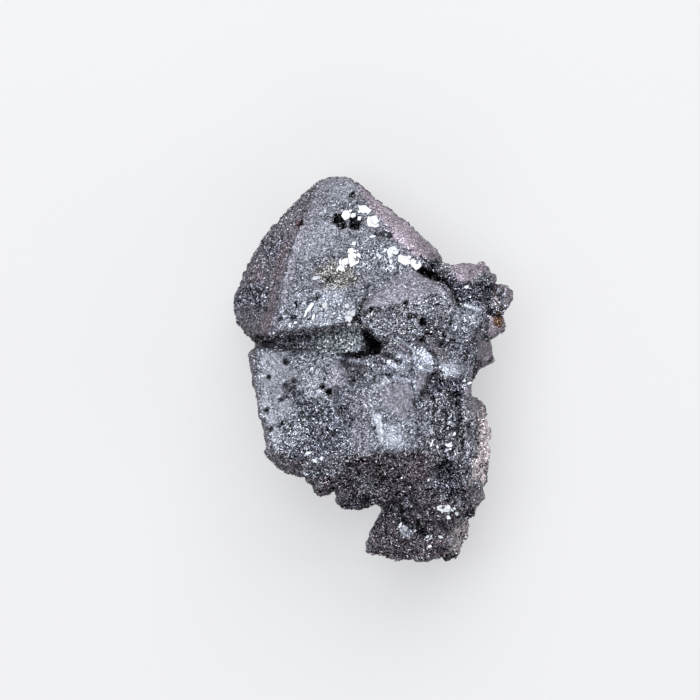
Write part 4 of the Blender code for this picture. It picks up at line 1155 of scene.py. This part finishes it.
class Finish:  # a material and the nodes that make it
    def __init__(self, name, **constants):
        self.material = bpy.data.materials.new(name)
        self.material.use_nodes = True
        self.nodes = self.material.node_tree.nodes
        self.links = self.material.node_tree.links
        self.surface = self.nodes["Principled BSDF"]
        self.wear(**constants)

    def node(self, kind, settings=None, inputs=None, output=0):
        made = self.nodes.new(kind)
        for name, value in (settings or {}).items():
            if name == "stops":
                ramp = made.color_ramp
                while len(ramp.elements) < len(value):
                    ramp.elements.new(1)
                for element, (place, grey) in zip(ramp.elements, value):
                    element.position = place
                    element.color = (grey, grey, grey, 1)
            else:
                setattr(made, name, value)
        for name, value in (inputs or {}).items():
            self.feed(made.inputs[name], value)
        return Value(self, made.outputs[output])

    def feed(self, socket, value):
        if isinstance(value, Value):
            self.links.new(value.socket, socket)
        else:
            socket.default_value = value

    def wear(self, **sockets):  # feeds the shader's own sockets
        for name, value in sockets.items():
            self.feed(self.surface.inputs[name.replace("_", " ")], value)
        return self.material

    def attribute(self, name, output="Fac"):
        return self.node("ShaderNodeAttribute", {"attribute_name": name}, output=output)

    def texture(self, kind, size, settings, output, **inputs):
        places = self.node("ShaderNodeTexCoord", output="Object")
        inputs = {"Vector": places, "Scale": 1 / (size * mm), **inputs}
        return self.node(kind, settings, inputs, output)

    def noise(self, size, detail):
        return self.texture("ShaderNodeTexNoise", size, {}, 0, Detail=detail)

    def grains(self, size):  # a chance colour for each grain
        return self.texture("ShaderNodeTexVoronoi", size, {}, "Color")

    def gaps(self, size):  # 0 in the cracks between the same grains
        settings = {"feature": "DISTANCE_TO_EDGE"}
        return self.texture("ShaderNodeTexVoronoi", size, settings, "Distance")

    def ramp(self, value, stops):
        return self.part(self.node("ShaderNodeValToRGB", {"stops": stops}, {"Fac": value}), "Red")

    def part(self, colour, which):
        return self.node("ShaderNodeSeparateColor", {}, {"Color": colour}, which)

    def vector(self, operation, *inputs):
        return self.node("ShaderNodeVectorMath", {"operation": operation}, dict(enumerate(inputs)))

    def scaled(self, vector, by):
        return self.node("ShaderNodeVectorMath", {"operation": "SCALE"}, {0: vector, "Scale": by})

    def tilted(self, grain, middle, by):  # the face's normal, tipped by each grain's own numbers
        tip = self.scaled(self.vector("SUBTRACT", grain, (middle, middle, middle)), by)
        normal = self.node("ShaderNodeNewGeometry", output="Normal")
        return self.vector("NORMALIZE", self.vector("ADD", normal, tip))


# Finishes.


# The row's first number, plus each share times a number of its own. Such rows below have the
# names of their shares beside them.
def adding(row, *shares):
    total = row[0]
    for share, by in zip(shares, row[1:]):
        total = total + share * by
    return total


skinFinish = {
    "grainSize": 0.115,
    "flakeSize": 0.34,
    "grainTilt": 1.3,
    "flakeTilt": 0.7,
    "tilt": (0.12, 0.75),  # rough
    "dull": (0.28, 0.3),  # how far from metal the brightest grains are: calm
    "dullGrain": (0.35, 0.65),  # chance
    "roughness": (0.28, 0.26, 0.16),  # calm, chance
    # how bright a grain is for its chance number, and how bright its edge is
    "specks": ((0.0, 0.04), (0.3, 0.22), (0.6, 0.75), (0.85, 1.5), (1.0, 3.1)),
    "gaps": ((0.0, 0.12), (0.16, 1.0)),
    "calmSpecks": 0.8,  # how far calm evens the specks out
    "calmTone": (0.65, 0.3),  # to this: chance
    "patchSize": 1.7,
    "patch": (0.82, 0.36),  # the patches' own noise
    "patchShare": (0.5, 0.5),  # rough
    "flakeTone": (0.9, 0.2),  # the flake's chance
    # painted shade in hollows and pits
    "hollowShade": 0.92,
    "crestLight": 0.35,
}


def makeSkinFinish():
    look = skinFinish
    finish = Finish("granularHematite", Specular_IOR_Level=0.4)
    tint = finish.attribute("tint", "Color")
    calm = finish.attribute("calm")
    hollow = finish.attribute("hollow")
    crest = finish.attribute("crest")
    rough = 1 - calm
    grain = finish.grains(look["grainSize"])
    flake = finish.grains(look["flakeSize"])
    chance = finish.part(grain, "Red")
    speck = finish.ramp(chance, look["specks"])
    speck = speck * finish.ramp(finish.gaps(look["grainSize"]), look["gaps"])
    speck = speck * (1 - calm * look["calmSpecks"]) + calm * adding(look["calmTone"], chance)
    least, most = look["patch"]
    patch = least + finish.noise(look["patchSize"], 4.0) * most * adding(look["patchShare"], rough)
    tone = speck * patch * adding(look["flakeTone"], finish.part(flake, "Green"))
    # hollows and pits darkened as painted shade
    tone = tone * (1 - hollow * look["hollowShade"]) * (1 + crest * look["crestLight"])
    grainTip = finish.scaled(grain, look["grainTilt"])
    tip = finish.vector("ADD", grainTip, finish.scaled(flake, look["flakeTilt"]))
    middle = (look["grainTilt"] + look["flakeTilt"]) / 2
    return finish.wear(
        Base_Color=finish.scaled(tint, tone),
        Metallic=1 - adding(look["dull"], calm) * adding(look["dullGrain"], chance) * (1 - hollow),
        Roughness=adding(look["roughness"], calm, chance),
        Normal=finish.tilted(tip, middle, adding(look["tilt"], rough)),
    )


flakeFinish = {
    "mottleSize": 0.09,
    "grainSize": 0.08,
    "tone": (0.75, 0.5),  # mottle
    "metal": (0.98, -0.14),  # spark
    "roughness": (0.44, -0.14, 0.1),  # spark, mottle
    "faceTilt": 0.5,
    "tilt": (0.2, 0.3),  # mottle
}


def makeFlakeFinish():
    look = flakeFinish
    finish = Finish("hematiteFlake", Specular_IOR_Level=0.5)
    tint = finish.attribute("tint", "Color")
    spark = finish.attribute("spark")
    mottle = finish.noise(look["mottleSize"], 2.0)
    grain = finish.grains(look["grainSize"])
    return finish.wear(
        Base_Color=finish.scaled(tint, adding(look["tone"], mottle)),
        Metallic=adding(look["metal"], spark),
        Roughness=adding(look["roughness"], spark, mottle),
        Normal=finish.tilted(grain, 0.5, look["faceTilt"] * adding(look["tilt"], mottle)),
    )


plateFinish = {
    # a pale base colour that paints the plates' glint, on top of their real reflection of the key
    # light
    "tint": (0.5, 0.525, 0.57),
    "metal": 0.05,
    "mottleSize": 0.35,
    "tone": (0.55, 0.8),  # mottle
    "roughness": (0.38, 0.2),  # mottle
    "streakSize": 0.12,
    "streakStrength": 0.12,
    "streakHeight": 0.02,
}


def makePlateFinish():
    look = plateFinish
    finish = Finish("paintedGlintHematite", Metallic=look["metal"])
    mottle = finish.noise(look["mottleSize"], 4.0)
    relief = {
        "Strength": look["streakStrength"],
        "Distance": look["streakHeight"] * mm,
        "Height": finish.noise(look["streakSize"], 2.0),
    }
    tone = adding(look["tone"], mottle) * finish.attribute("tone")
    return finish.wear(
        Base_Color=finish.scaled(look["tint"], tone),
        Roughness=adding(look["roughness"], mottle),
        Normal=finish.node("ShaderNodeBump", {}, relief, "Normal"),
    )


# Floor, light and camera.

stagePlan = {
    "floorSide": 3.0,  # metres
    "floorTint": (0.985, 0.99, 1.0),
    "floorTone": 0.213,
    "fibres": (0.985, 0.03),  # fibre noise
    "fibreSize": 0.6,
    "floorGlow": 0.45,
    "glowTint": (0.985, 0.985, 1.0, 1.0),
    "skyTint": (0.93, 0.95, 1.0, 1.0),
    "skyStrength": 0.5,
}

# Each light's direction, distance and size in metres, and watts.
lightPlan = {
    "key": dict(
        way=(0.05, 0.78, 0.74), away=0.75, size=(0.7, 0.55), watts=6.6, colour=(1.0, 0.99, 0.98)),
    "over": dict(
        way=(-0.25, 0.12, 1.0), away=1.1, size=(0.8, 0.8), watts=11.5, colour=(0.96, 0.98, 1.0)),
    "low": dict(
        way=(0.1, -0.75, 0.6), away=0.9, size=(0.6, 0.5), watts=2.2, colour=(1.0, 0.98, 0.97)),
    "side": dict(
        way=(1.0, -0.25, 0.55), away=0.9, size=(0.5, 0.5), watts=1.6, colour=(1.0, 0.99, 0.98)),
}

cameraPlan = {
    "aim": (-2.4, 2.0, 9.0),  # the middle of the picture
    "away": 0.9,  # metres
    "near": 0.05,  # metres
    "frameWide": 72.54,
    "sensor": 36.0,
}


def makeFloor():
    plan = stagePlan
    side = plan["floorSide"] / 2
    mesh = bpy.data.meshes.new("floor")
    corners = [(-side, -side, 0), (side, -side, 0), (side, side, 0), (-side, side, 0)]
    mesh.from_pydata(corners, [], [(0, 1, 2, 3)])
    floor = linked("floor", mesh)
    finish = Finish("palePaper", Roughness=0.9, Specular_IOR_Level=0.1)
    finish.wear(Emission_Strength=plan["floorGlow"], Emission_Color=plan["glowTint"])
    tone = plan["floorTone"] * adding(plan["fibres"], finish.noise(plan["fibreSize"], 5.0))
    mesh.materials.append(finish.wear(Base_Color=finish.scaled(plan["floorTint"], tone)))


def makeLight(name, plan):
    light = bpy.data.lights.new(name, "AREA")
    light.shape = "RECTANGLE"
    light.size, light.size_y = plan["size"]
    light.energy = plan["watts"]
    light.color = plan["colour"]
    lamp = linked(name, light)
    way = Vector(plan["way"]).normalized()
    lamp.location = way * plan["away"]
    lamp.rotation_euler = way.to_track_quat("Z", "Y").to_euler()


def makeWorld():
    world = bpy.data.worlds.new("studio")
    world.use_nodes = True
    bpy.context.scene.world = world
    sky = world.node_tree.nodes["Background"]
    sky.inputs["Color"].default_value = stagePlan["skyTint"]
    sky.inputs["Strength"].default_value = stagePlan["skyStrength"]


def makeCamera():
    plan = cameraPlan
    data = bpy.data.cameras.new("view")
    data.sensor_width = plan["sensor"]
    data.lens = plan["sensor"] * plan["away"] / (plan["frameWide"] * mm)
    data.clip_start = plan["near"]
    camera = linked("view", data)
    camera.location = Vector(plan["aim"]) * mm + Vector((0, 0, plan["away"]))
    bpy.context.scene.camera = camera


# Putting it together.

makeCamera()
makeWorld()
makeFloor()
for lightName, lamp in lightPlan.items():
    makeLight(lightName, lamp)
print("stage ready")

skin, broadNormals = makeSkin(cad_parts[nodeName], makeSkinFinish())
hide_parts(nodeName)
print("skin ready:", len(skin.data.polygons), "faces")

surface = surfaceOf(skin, broadNormals)
fieldNumbers = fieldsOf(surface)
flakeDraws = np.random.default_rng(flakePlan["seed"])
flakeMaterial = makeFlakeFinish()
for number, (fieldName, flakeCount) in enumerate(flakePlan["fields"].items()):
    growFlakes(fieldName, flakeCount, surface, fieldNumbers == number, flakeMaterial, flakeDraws)
print("flakes grown")

makePlates(skin, surface, makePlateFinish())
print("plates set")

bpy.context.scene.view_settings.view_transform = "Standard"
